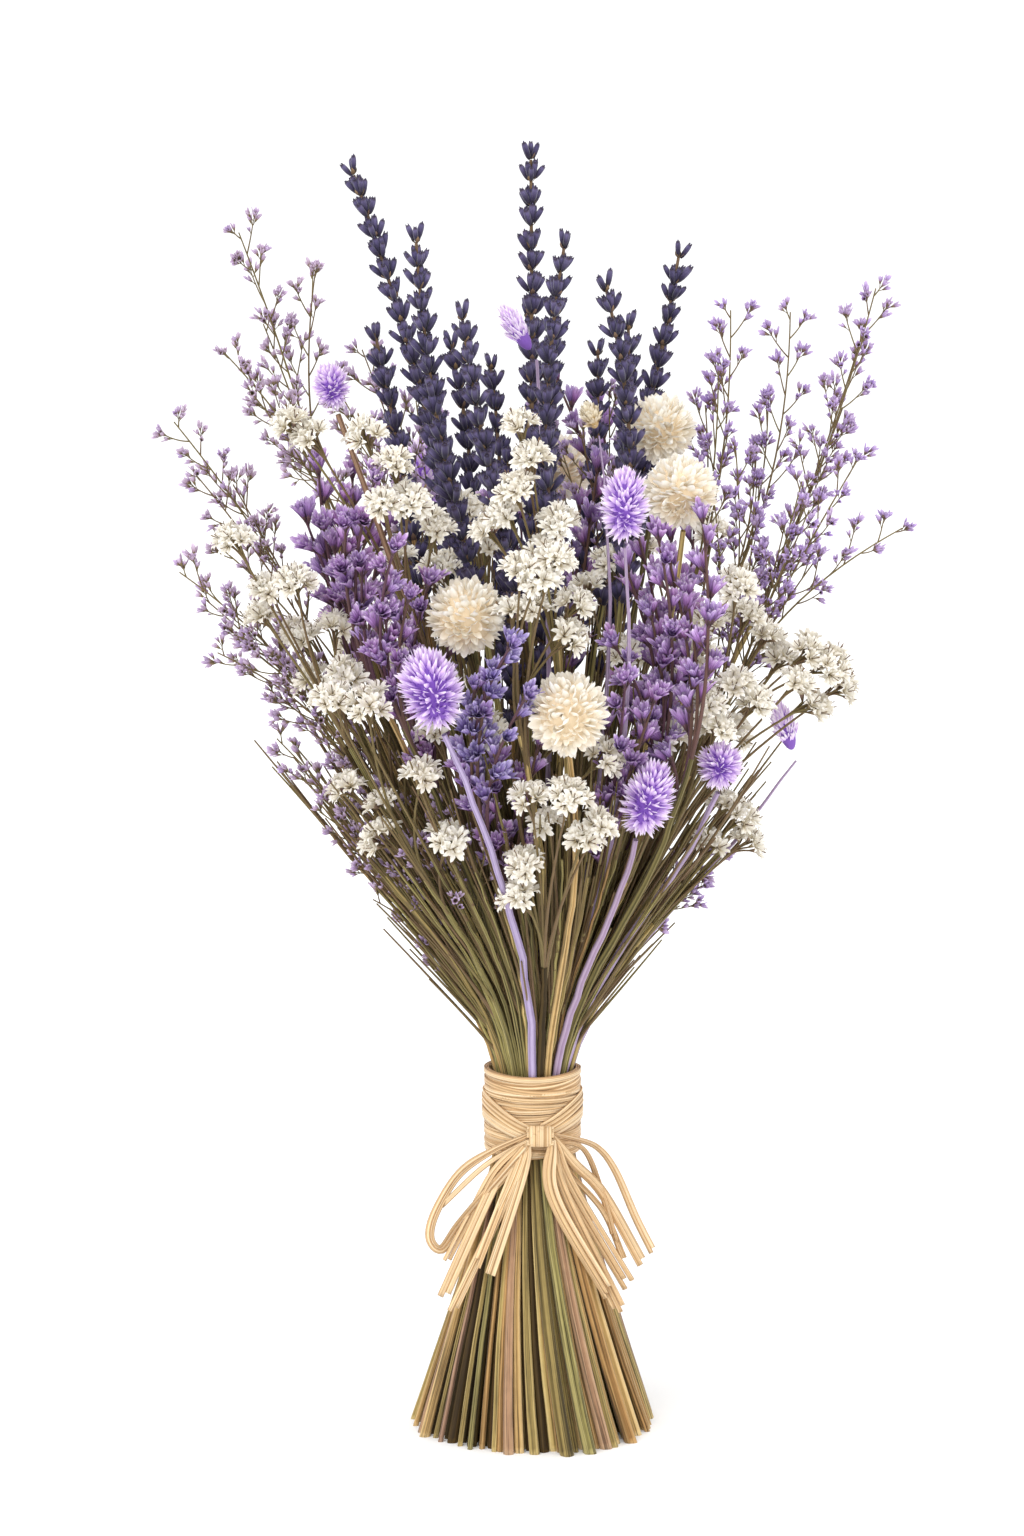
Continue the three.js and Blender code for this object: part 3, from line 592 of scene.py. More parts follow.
@dataclass
class Form:
    """A small piece of surface that is set in many places."""

    points: np.ndarray
    faces: np.ndarray
    grain: np.ndarray
    reach: np.ndarray
    finishes: list[Finish]
    finish_of: np.ndarray
    petal_columns: ClassVar[int] = 3

    @classmethod
    def grid(cls, points: np.ndarray, reach: np.ndarray, finish: Finish, closed: bool) -> "Form":
        """Makes a surface from rows of points.

        Args:
            points: Rows of columns of points.
            reach: How far each point is from the root, 0, to the tip, 1.
            finish: The surface's finish.
            closed: Whether the last column joins the first.

        Returns:
            The surface.
        """
        rows, columns = points.shape[:2]
        numbers = np.arange(rows * columns).reshape(rows, columns)
        left = numbers if closed else numbers[:, :-1]
        right = np.roll(numbers, -1, axis=1) if closed else numbers[:, 1:]
        faces = np.stack([left[:-1], right[:-1], right[1:], left[1:]], axis=-1).reshape(-1, 4)
        across = np.linalg.norm(points - points[:, :1], axis=2)
        along = np.linalg.norm(points - points[:1], axis=2)
        grain = np.stack([across, along], axis=2).reshape(-1, 2)
        flat = np.broadcast_to(reach, (rows, columns)).reshape(-1)
        return cls(points.reshape(-1, 3), faces, grain, flat, [finish], np.zeros(len(faces), int))

    @classmethod
    def turned(cls, profile: Any, sides: int, finish: Finish, ribs: float = 0.0) -> "Form":
        """Makes a round surface from its profile of radii and heights, with ribs on every second side.

        Args:
            profile: The radius and height of each row.
            sides: How many sides it has.
            finish: Its finish.
            ribs: How far every second side stands out, as a share of the radius.

        Returns:
            The surface.
        """
        radius, height = np.asarray(profile, float).T
        angle = even_turns(sides)
        out = radius[:, None] * (1 + ribs * (np.arange(sides) % 2 * 2 - 1))[None]
        points = np.stack([out * np.cos(angle), out * np.sin(angle), height[:, None] + 0 * out], axis=2)
        reach = (height - height.min()) / np.ptp(height)
        return cls.grid(points, np.repeat(reach[:, None], sides, axis=1), finish, True)

    @classmethod
    def lobed(cls, lobes: int, profile: Any, finish: Finish, cup: float = 0.0, phase: float = 0.0,
              jitter: float = 0.0) -> "Form":
        """Makes a ring of petals.

        Args:
            lobes: How many petals there are.
            profile: Radius, height and half width of each row of a petal, from root to tip.
            finish: The petals' finish.
            cup: How far a petal's edges stand above its middle, as a share of its half width.
            phase: The ring's turn about its axis, in petals.
            jitter: How unlike the petals are.

        Returns:
            The petals.
        """
        radius, height, half = np.asarray(profile, float).T
        across = np.linspace(-1, 1, cls.petal_columns)
        rng = np.random.default_rng(lobes * 7 + len(radius))
        reach = np.linspace(0, 1, len(radius))
        reaches = np.repeat(reach[:, None], cls.petal_columns, axis=1)
        made = []
        for lobe in range(lobes):
            angle = (lobe + phase) * FULL_TURN / lobes + rng.normal(0, jitter)
            stretch = 1 + rng.normal(0, jitter)
            tilt = rng.normal(0, jitter) * reach
            out = radius[:, None] * stretch + 0 * across
            aside = half[:, None] * across
            up = height[:, None] * stretch + cup * half[:, None] * across**2 + (tilt * radius)[:, None]
            c, s = math.cos(angle), math.sin(angle)
            points = np.stack([out * c - aside * s, out * s + aside * c, up], axis=2)
            made.append(cls.grid(points, reaches, finish, False))
        return cls.joined(made)

    @classmethod
    def joined(cls, forms: list["Form"]) -> "Form":
        """Makes one form of several.

        Args:
            forms: The forms.

        Returns:
            The form that holds them all.
        """
        finishes: list[Finish] = []
        faces, finish_of, total = [], [], 0
        for form in forms:
            faces.append(form.faces + total)
            total += len(form.points)
            for finish in form.finishes:
                if finish not in finishes:
                    finishes.append(finish)
            renumbered = np.array([finishes.index(finish) for finish in form.finishes])
            finish_of.append(renumbered[form.finish_of])
        return cls(
            np.vstack([f.points for f in forms]),
            np.vstack(faces),
            np.vstack([f.grain for f in forms]),
            np.concatenate([f.reach for f in forms]),
            finishes,
            np.concatenate(finish_of),
        )

    def moved(self, places: np.ndarray, axes: np.ndarray) -> "Form":
        """Gives this form set in several places, as one form.

        Args:
            places: Where each root goes.
            axes: The sized axes of each.

        Returns:
            The form that holds them all.
        """
        count, size = len(places), len(self.points)
        points = np.einsum("nij,kj->nki", axes, self.points) + places[:, None]
        faces = self.faces[None] + (np.arange(count) * size)[:, None, None]
        return Form(
            points.reshape(-1, 3),
            faces.reshape(-1, 4),
            np.tile(self.grain, (count, 1)),
            np.tile(self.reach, count),
            self.finishes,
            np.tile(self.finish_of, count),
        )


class Skin:
    """Collects the surfaces of one piece, and makes its mesh."""

    def __init__(self, name: str, seed: int) -> None:
        """Starts an empty piece.

        Args:
            name: The piece's name.
            seed: The seed of its random draws.
        """
        self.name = name
        self.rng = np.random.default_rng(seed)
        self.forms: list[Form] = []
        self.tones: list[np.ndarray] = []

    def set_forms(self, form: Form, places: np.ndarray, axes: np.ndarray, tones: np.ndarray) -> None:
        """Sets a form in several places, each with its own tone."""
        self.forms.append(form.moved(places, axes))
        self.tones.append(np.repeat(tones, len(form.points)))

    def add(self, form: Form, tone: float) -> None:
        """Adds one form where it is."""
        self.forms.append(form)
        self.tones.append(np.full(len(form.points), tone))

    def tubes(self, points: np.ndarray, radii: Any, finish: Finish, tones: Any, sides: int,
              ribs: Optional[np.ndarray] = None, cut_rows: int = 0) -> None:
        """Adds round stalks.

        Args:
            points: For each stalk, the points along it.
            radii: The radius at each point.
            finish: Their finish.
            tones: Each one's tone.
            sides: Sides of each stalk.
            ribs: How far each side stands out, as a share of the radius.
            cut_rows: How many of the first rows lie in a level cut.
        """
        count, rows = points.shape[:2]
        chord = unit(points[:, -1] - points[:, 0])
        guess = np.where(np.abs(chord[:, 1:2]) < STALK_STEEP, [0.0, 1.0, 0.0], [1.0, 0.0, 0.0])
        ahead = unit(np.gradient(points, axis=1))
        side = unit(np.cross(guess[:, None], ahead))
        other = np.cross(ahead, side)
        angle = even_turns(sides)
        ribs = np.zeros(sides) if ribs is None else ribs
        out = np.broadcast_to(np.asarray(radii, float), (count, rows))[:, :, None] * (1 + ribs)
        ring = side[:, :, None] * (out * np.cos(angle))[..., None]
        ring = ring + other[:, :, None] * (out * np.sin(angle))[..., None]
        level = ring[:, :cut_rows]
        ahead_there = ahead[:, :cut_rows, None]
        ring[:, :cut_rows] = level - ahead_there * (level[..., 2:] / ahead_there[..., 2:])
        # On a ribbed stalk the ramp runs from painted shade in the grooves to painted highlight on the
        # ridges.
        share = GROOVED_SHADE + RIDGE_SHADE * ribs if ribs.any() else np.full(sides, PLAIN_SHADE)
        reach = np.repeat(np.clip(share, 0, 1)[None], rows, axis=0)
        reach[:cut_rows] = 1
        lengths = np.linalg.norm(np.diff(points, axis=1), axis=2)
        along = np.concatenate([np.zeros((count, 1)), np.cumsum(lengths, axis=1)], axis=1)
        for i in range(count):
            form = Form.grid(points[i][:, None] + ring[i], reach, finish, True)
            girth = angle * float(np.max(np.broadcast_to(radii, (count, rows))[i]))
            form.grain = np.stack([np.tile(girth, rows), np.repeat(along[i], sides)], axis=1)
            self.add(form, float(np.broadcast_to(tones, (count,))[i]))

    def make(self, shift: np.ndarray) -> bpy.types.Object:
        """Makes the object, moved by a shift in millimetres.

        Args:
            shift: The shift.

        Returns:
            The object, its places in metres.
        """
        whole = Form.joined(self.forms)
        tones = np.clip(np.concatenate(self.tones), 0, 1)
        mesh = bpy.data.meshes.new(self.name)
        count = len(whole.points)
        mesh.vertices.add(count)
        mesh.vertices.foreach_set("co", ((whole.points + shift) * MM).astype(np.float32).ravel())
        mesh.loops.add(whole.faces.size)
        mesh.loops.foreach_set("vertex_index", whole.faces.astype(np.int32).ravel())
        mesh.polygons.add(len(whole.faces))
        mesh.polygons.foreach_set("loop_start", np.arange(len(whole.faces), dtype=np.int32) * 4)
        mesh.polygons.foreach_set("material_index", whole.finish_of.astype(np.int32))
        mesh.polygons.foreach_set("use_smooth", np.ones(len(whole.faces), bool))
        grain = np.column_stack([whole.grain, tones * TONE_STEP]).astype(np.float32)
        mesh.attributes.new("grain", "FLOAT_VECTOR", "POINT").data.foreach_set("vector", grain.ravel())
        for name, values in (("reach", whole.reach), ("tone", tones)):
            mesh.attributes.new(name, "FLOAT", "POINT").data.foreach_set("value", values.astype(np.float32))
        for finish in whole.finishes:
            mesh.materials.append(finish.material())
        mesh.update(calc_edges=True)
        mesh.validate()
        return placed(self.name, mesh)


def placed(name: str, data: Any) -> bpy.types.Object:
    """Puts an object of a mesh, a light or a camera into the scene.

    Args:
        name: Its name.
        data: The mesh, light or camera.

    Returns:
        The object.
    """
    made = bpy.data.objects.new(name, data)
    bpy.context.scene.collection.objects.link(made)
    return made


# ---------------- how the stems run
def eased(share: Any) -> np.ndarray:
    """Gives a share kept from 0 to 1, with a soft start and end."""
    kept = np.clip(share, 0, 1)
    return kept * kept * (3 - 2 * kept)


@dataclass
class Habit:
    """How the stems of the bunch run: an hourglass that turns about the tie's axis."""

    tie_height: float = 111.5
    waist: float = 12
    lean_above: float = 0.7
    soft_lean: float = 0.6  # the share of that lean just above the tie
    soft_rise: float = 100
    lean_below: float = 0.34
    top_depth: float = 0.74
    depth_rise: float = 120
    turn_above: float = 0.36 / 170
    turn_below: float = 0.24 / 111.5
    squeeze: float = 1.2  # how much closer than in the frame the stems lie in the tie
    squeeze_at: Place = (114.0, 22.0)  # the height where that is most so, and how far off it eases
    least_depth: float = 0.25  # how near the front the outermost flowers stand, as a share of the reach
    skin_out: float = 1.3  # how far a stem's skin is from its middle, and how much more at its foot
    foot_skin_out: float = 0.8
    axis: np.ndarray = field(default_factory=lambda: np.zeros(3))
    slots: list[np.ndarray] = field(default_factory=list)

    def reach(self, z: Any) -> np.ndarray:
        """Gives the distance from the axis to an outermost stem.

        Args:
            z: Heights.

        Returns:
            The distance at each.
        """
        rise = np.asarray(z, float) - self.tie_height
        share = self.soft_lean + (1 - self.soft_lean) * eased(rise / self.soft_rise)
        lean = np.where(rise > 0, self.lean_above * share, self.lean_below)
        return np.sqrt(self.waist**2 + (lean * rise) ** 2)

    def depth_share(self, z: Any) -> np.ndarray:
        """Gives the bunch's depth over its width."""
        rise = np.asarray(z, float) - self.tie_height
        return 1 - (1 - self.top_depth) * eased(rise / self.depth_rise)

    def turn(self, z: Any) -> np.ndarray:
        """Gives how far the bunch is turned at a height."""
        rise = np.asarray(z, float) - self.tie_height
        return np.where(rise > 0, self.turn_above, self.turn_below) * rise

    def in_bunch(self, slot: np.ndarray, z: Any) -> np.ndarray:
        """Gives where the stem in a slot is at some heights.

        Args:
            slot: Its place across the bunch, where 1 is the reach.
            z: The heights.

        Returns:
            A point for each height.
        """
        z = np.asarray(z, float)
        c, s = np.cos(self.turn(z)), np.sin(self.turn(z))
        middle, width = self.squeeze_at
        reach = self.reach(z) - self.squeeze * np.exp(-(((z - middle) / width) ** 2))
        x = reach * (slot[0] * c + slot[1] * s)
        y = reach * self.depth_share(z) * (slot[1] * c - slot[0] * s)
        return np.stack([x, y, z + 0 * x], axis=-1)

    def slot_at(self, point: np.ndarray) -> np.ndarray:
        """Gives the slot whose stem passes through a point.

        Args:
            point: The point.

        Returns:
            The slot.
        """
        c, s = np.cos(self.turn(point[2])), np.sin(self.turn(point[2]))
        x = point[0] / self.reach(point[2])
        y = point[1] / (self.reach(point[2]) * self.depth_share(point[2]))
        return np.array([x * c - y * s, y * c + x * s])

    def point_at(self, front: Place, depth: float) -> np.ndarray:
        """Gives the point at a front-view place and a share of the bunch's depth.

        Args:
            front: Its x and z.
            depth: From -1 at the front to 1 at the back.

        Returns:
            The point.
        """
        x, z = front
        room = max(self.reach(z) ** 2 - x**2, (self.least_depth * self.reach(z)) ** 2)
        return np.array([x, depth * self.depth_share(z) * math.sqrt(room), z])

    def heading(self, slot: np.ndarray, z: float) -> np.ndarray:
        """Gives a stem's direction at a height."""
        return unit(self.in_bunch(slot, z + HEADING_RISE) - self.in_bunch(slot, z - HEADING_RISE))

    def edge(self, z: float) -> float:
        """Gives how far out the skin of the outermost stem is."""
        outs = [np.linalg.norm(self.in_bunch(slot, z)[:2]) for slot in self.slots]
        return max(outs) + self.skin_out + self.foot_skin_out * max(0.0, 1 - z / SWELL_TOP)


def ribbed(sides: int, rng: np.random.Generator) -> np.ndarray:
    """Gives how far each side of a stem stands out: broad ridges between grooves, and finer ones.

    Args:
        sides: How many sides it has.
        rng: The piece's random draws.

    Returns:
        A share of the radius for each side.
    """
    angle = even_turns(sides) + rng.uniform(*ANY_TURN)
    broad, fine, middle = 0.15, 0.06, 0.13
    return broad * np.abs(np.cos(2 * angle)) + fine * np.abs(np.cos(5 * angle)) - middle


@dataclass(frozen=True)
class Girth:
    """How thick a stem is, and how many sides it is made with."""

    radius: float = 1.3
    foot_swell: float = 0.9
    sides: int = 22
    taper: float = 0.35
    cut: ClassVar[tuple[float, ...]] = (0.0, 0.02, 1.6)  # heights of the cut's middle, rim and shoulder
    cut_middle: ClassVar[float] = 0.15
    taper_start: ClassVar[float] = 135
    least_taper: ClassVar[float] = 50  # the least height over which a stem tapers
    first_row: ClassVar[float] = 12
    rows: ClassVar[tuple[int, int]] = (10, 18)  # under the tie and over it
    wander_below: ClassVar[float] = 0.06
    wander_above: ClassVar[float] = 0.2

    def stand(self, skin: Skin, habit: Habit, slot: np.ndarray, top: float, below: Finish,
              above: Finish) -> None:
        """Adds a stem from its level-cut foot, through the tie, to its top.

        Args:
            skin: The piece it belongs to.
            habit: How the stems of the bunch run.
            slot: Its slot in the bunch.
            top: The height where it ends.
            below: Its finish under the tie.
            above: Its finish over it.
        """
        rng = skin.rng
        tone = float(rng.uniform(0, 1))
        ribs = ribbed(self.sides, rng)
        under = np.concatenate([self.cut, np.linspace(self.first_row, habit.tie_height, self.rows[0])])
        over = np.linspace(habit.tie_height, top, self.rows[1])
        still = len(self.cut)  # rows at a part's start that don't wander, so that the parts meet
        tapering = max(top - self.taper_start, self.least_taper)
        for heights, finish, wander in ((under, below, self.wander_below), (over, above, self.wander_above)):
            points = habit.in_bunch(slot, heights)
            points[still:-1, :2] += rng.normal(0, wander, (len(heights) - still - 1, 2))
            radii = self.radius + self.foot_swell * np.clip(1 - heights / SWELL_TOP, 0, 1)
            radii = radii * (1 - self.taper * np.clip((heights - self.taper_start) / tapering, 0, 1))
            cut_rows = 2 if heights[0] == 0 else 0
            if cut_rows:
                radii[0] = self.cut_middle
            skin.tubes(points[None], radii, finish, tone, self.sides, ribs, cut_rows)


class Kind(Enum):
    """The kinds of flower and the tie, by their slots in the record."""

    LAVENDER = "lavender"
    GLOBE = "globe_amaranth"
    GRASS = "canary_grass"
    VIOLET = "violet_statice"
    WHITE = "white_statice"
    SEA = "sea_lavender"
    RAFFIA = "raffia"


@dataclass(frozen=True)
class Spot:
    """Where a flower is in the front view: x and z, and depth from -1 in front to 1 behind."""

    base: Place
    depth: float
    tip: Place = (0.0, 0.0)
    ends: tuple[Place, ...] = ()  # where the branches end that the frame has too
    more: tuple[Place, ...] = ()  # and those that only this scene has
    girth: float = 0.0  # the radius of a globe or an ear
    tone: float = 0.3  # about what tone the florets have
    stem: Optional[Finish] = None  # the stem's finish over the tie
    feather: float = 0.5  # how far an ear's spikelets point up it
    taper: float = 0.35  # how much thinner the stem is at its head
    pale: bool = False  # whether an ear is undyed


STEMS_BELOW = (STRAW_STEM, OLIVE_STEM, STRAW_STEM, GREEN_STEM, STRAW_STEM, OLIVE_STEM, ROSE_STEM)
STEMS_ABOVE = (GREEN_STEM, OLIVE_STEM, GREEN_STEM, SHADED_STEM, GREEN_STEM, OLIVE_STEM, STRAW_STEM)


def settle(skin: Skin, axis: np.ndarray, node: Optional[str]) -> bpy.types.Object:
    """Makes a piece of its surfaces, sets it on the root body, and hides the node that it stands for.

    Args:
        skin: The piece's surfaces.
        axis: Where the tie's axis meets the floor.
        node: The node that it stands for, if it does.

    Returns:
        The finished piece.
    """
    piece = skin.make(axis)
    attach(piece, "root")
    if node is not None:
        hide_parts(node)
    log.info("%s: %d faces", piece.name, len(piece.data.polygons))
    return piece


# ---------------- flowers
@dataclass
class Flower:
    """One flower on its own stem, from its cut foot to its head."""

    habit: Habit
    spot: Spot
    name: str
    number: int
    node: Optional[bpy.types.Object]
    girth: Girth = Girth()
    aim_back: ClassVar[float] = 0.6  # how far a head leans back to its place in the front view
    fore_and_aft: ClassVar[float] = 0.6  # how far it keeps its stem's lean to the front or back
    foot_top: ClassVar[float] = 0.1  # a solid's points under this height are those of its foot
    kind: ClassVar[Kind]

    def __post_init__(self) -> None:
        """Finds the stem's slot from its foot in the frame, or from its place."""
        self.seed = self.number * 17 + len(self.kind.value)
        if self.node is None:
            self.slot = self.habit.slot_at(self.habit.point_at(self.spot.base, self.spot.depth))
            return
        count = len(self.node.data.vertices)
        points = np.zeros(count * 3)
        self.node.data.vertices.foreach_get("co", points)
        self.solid = points.reshape(-1, 3) / MM - self.habit.axis
        foot = self.solid[self.solid[:, 2] < self.foot_top].mean(axis=0)
        self.slot = self.habit.slot_at(np.array([foot[0], foot[1], 0.0]))

    @property
    def base_height(self) -> float:
        """Gives the height of the head's base."""
        return self.spot.base[1]

    def stem_at(self, z: Any) -> np.ndarray:
        """Gives the stem's middle at some heights."""
        return self.habit.in_bunch(self.slot, z)

    def head_line(self, steps: int) -> Line:
        """Gives the line of a single head from the top of its stem to its tip.

        Args:
            steps: How many steps it is given in.

        Returns:
            The line.
        """
        base = self.stem_at(self.base_height)
        heading = self.habit.heading(self.slot, self.base_height)
        rise = self.spot.tip[1] - self.base_height
        aside = self.spot.tip[0] - self.spot.base[0] + self.aim_back * (self.spot.base[0] - base[0])
        tip = base + [aside, self.fore_and_aft * rise * heading[1] / heading[2], rise]
        return Line(bend(base, heading, tip, steps)[0])

    def grow_stem(self, skin: Skin) -> None:
        """Adds the stem.

        Args:
            skin: The flower's piece.
        """
        below = STEMS_BELOW[self.seed % len(STEMS_BELOW)]
        above = self.spot.stem or STEMS_ABOVE[self.seed % len(STEMS_ABOVE)]
        girth = replace(self.girth, taper=self.spot.taper)
        girth.stand(skin, self.habit, self.slot, self.base_height, below, above)

    def dress(self, skin: Skin) -> None:
        """Adds the head; each kind has its own."""

    def build(self) -> bpy.types.Object:
        """Builds the flower, and hides the frame's node that it stands for, if it has one.

        Returns:
            The finished piece.
        """
        skin = Skin(f"{self.name}_dressed", self.seed)
        self.grow_stem(skin)
        self.dress(skin)
        return settle(skin, self.habit.axis, None if self.node is None else self.name)


@dataclass
class LavenderSpike(Flower):
    """A lavender stem with rings of ribbed buds."""

    ring_spacing: float = 7.4
    buds_in_ring: int = 9
    bud_size: float = 1.12
    bract_size: float = 0.75
    drop: float = 34  # how far below the frame's head the flowers start
    narrowing: float = 0.26  # how much smaller the top ring is
    leans: Place = (0.56, 0.22)  # of every second bud and of those between
    last_lean: float = 0.35
    root_out: float = 1.7
    ring_turn: float = 0.9  # how far each ring is turned from the one below
    bract_drop: float = 0.6
    core_radius: float = 0.9
    core_taper: float = 0.4
    uneven: float = 0.9  # how far up or down a bud stands from its ring
    kind: ClassVar[Kind] = Kind.LAVENDER

    @staticmethod
    def bud() -> Form:
        """Makes a bud: a ribbed barrel with a few teeth at its mouth.

        Returns:
            The bud, its foot at the origin.
        """
        lower = ((0.35, 0), (0.68, 0.8), (0.88, 2.1), (0.92, 3.6))
        upper = ((0.84, 4.8), (0.62, 5.5), (0.34, 5.4), (0.05, 5.0))
        teeth = ((0.6, 5.1, 0.3), (0.62, 5.7, 0.22), (0.5, 6.1, 0.05))
        return Form.joined([
            Form.turned(lower + upper, 12, LAVENDER_BUD, 0.08),
            Form.lobed(4, teeth, LAVENDER_BUD, 0.2),
        ])

    @staticmethod
    def bract() -> Form:
        """Makes the three thin pointed leaves under a ring of buds."""
        leaf = ((0.5, 0, 0.5), (1.5, 0.7, 1.0), (2.2, 1.7, 0.8), (2.7, 2.9, 0.08))
        return Form.lobed(3, leaf, BRACT, 0.3, jitter=0.12)

    def dress(self, skin: Skin) -> None:
        """Adds the rings of buds up the head, smaller towards the tip.

        Args:
            skin: The flower's piece.
        """
        below = self.stem_at(np.linspace(self.base_height - self.drop, self.base_height, 7))[:-1]
        line = Line(np.vstack([below, self.head_line(24).points]))
        rng = skin.rng
        shares = np.linspace(0, 0.95, 24)
        radii = self.core_radius - self.core_taper * shares
        skin.tubes(line.at(shares)[None], radii, BRACT, rng.uniform(0.2, 0.8), 8)
        rings = max(3, round(line.length / self.ring_spacing))
        for ring in range(rings):
            share = min(0.97, (ring + 0.1 + rng.normal(0, 0.05)) / rings)
            last = ring == rings - 1
            count = 3 if last else self.buds_in_ring
            taper = self.bud_size * (1.1 - self.narrowing * share**2)
            between = np.where(np.arange(count) % 2, *self.leans)
            lean = np.full(count, self.last_lean) if last else between
            about = even_turns(count) + ring * self.ring_turn + rng.normal(0, 0.16, count)
            ahead = np.repeat(line.heading(share), count, axis=0)
            directions = fanned(ahead, lean + rng.normal(0, 0.07, count), about)
            outwards = directions - ahead * (directions * ahead).sum(axis=1, keepdims=True)
            up = rng.uniform(-self.uneven, self.uneven, count)[:, None]
            roots = line.at(share) + outwards * self.root_out + ahead * up
            sizes = taper * rng.normal(1, 0.07, count)
            tones = rng.uniform(0, 1, count)
            frames = axes_along(directions, rng.uniform(*ANY_TURN, count), sizes)
            skin.set_forms(self.bud(), roots, frames, tones)
            under = line.at(share) - line.heading(share) * self.bract_drop
            spin = rng.uniform(*ANY_TURN, 1)
            frame = axes_along(ahead[:1], spin, np.array([self.bract_size * taper]))
            skin.set_forms(self.bract(), under, frame, rng.uniform(0, 1, 1))


@dataclass
class BareStems:
    """Thin stems that fill the bunch between the flowers, each ending in a few dry twigs."""

    habit: Habit
    count: int = 300
    room: float = 0.05  # the least distance to a flower's own slot
    girth: Girth = Girth(0.72, 0.2, 12, 0.5)
    broad_foot: float = 1.1  # of every third stem
    shaded: float = 0.95  # how far out the stems are dark under the tie, as a share of the reach
    front_tops: Place = (190, 240)
    back_tops: Place = (215, 345)  # in the middle of the bunch
    drop: float = 165  # how much lower the highest stems end at the bunch's edge
    outer_tops: Place = (186, 208)
    twigs: int = 7
    outer_spread: float = 0.3  # how far the outer stems' twigs spread, as a share of the others'
    reach: float = 1.04  # how far out the outermost slot is
    outer_from: float = 0.72  # and where the outer stems start
    side_height: float = 270  # the height where a stem is told to be in front or behind
    twig_drop: Place = (2, 60)
    twig_length: Place = (25, 55)
    twig_lean: Place = (0.05, 0.22)
    twig_radii: Place = (0.6, 0.28)

    def slots(self) -> list[np.ndarray]:
        """Gives the slots between those of the flowers.

        Returns:
            The free slots.
        """
        found = []
        for k in range(self.count):
            out = self.reach * math.sqrt((k + 0.5) / self.count)
            slot = out * np.array([math.cos(k * GOLDEN_TURN), math.sin(k * GOLDEN_TURN)])
            if min(np.linalg.norm(slot - other) for other in self.habit.slots) > self.room:
                found.append(slot)
        return found

    def build(self) -> bpy.types.Object:
        """Builds all the bare stems as one piece.

        Returns:
            The finished piece.
        """
        skin = Skin("bare_stems", 77)
        rng = skin.rng
        for i, slot in enumerate(self.slots()):
            outer = np.linalg.norm(slot) > self.outer_from
            lowest, highest = self.back_tops
            highest = max(lowest + 5, highest - self.drop * np.linalg.norm(slot))
            in_front = self.habit.in_bunch(slot, self.side_height)[1] < 0
            inner_tops = self.front_tops if in_front else (lowest, highest)
            top = rng.uniform(*(self.outer_tops if outer else inner_tops))
            inside = np.linalg.norm(slot) < self.shaded
            below = SHADED_STEM if inside else STEMS_BELOW[(3 * i) % len(STEMS_BELOW)]
            above = STEMS_ABOVE[i % len(STEMS_ABOVE)]
            girth = self.girth if i % 3 else replace(self.girth, foot_swell=self.broad_foot)
            girth.stand(skin, self.habit, slot, top, below, above)
            roots = self.habit.in_bunch(slot, top - rng.uniform(*self.twig_drop, self.twigs))
            heading = np.repeat(self.habit.heading(slot, top)[None], self.twigs, axis=0)
            lean = rng.uniform(*self.twig_lean, self.twigs) * (self.outer_spread if outer else 1)
            directions = fanned(heading, lean, rng.uniform(*ANY_TURN, self.twigs))
            ends = roots + directions * rng.uniform(*self.twig_length, self.twigs)[:, None]
            tones = rng.uniform(0, 1, self.twigs)
            radii = np.linspace(*self.twig_radii, 6)
            skin.tubes(bend(roots, heading, ends, 5), radii, TWIG, tones, 5)
        return settle(skin, self.habit.axis, None)


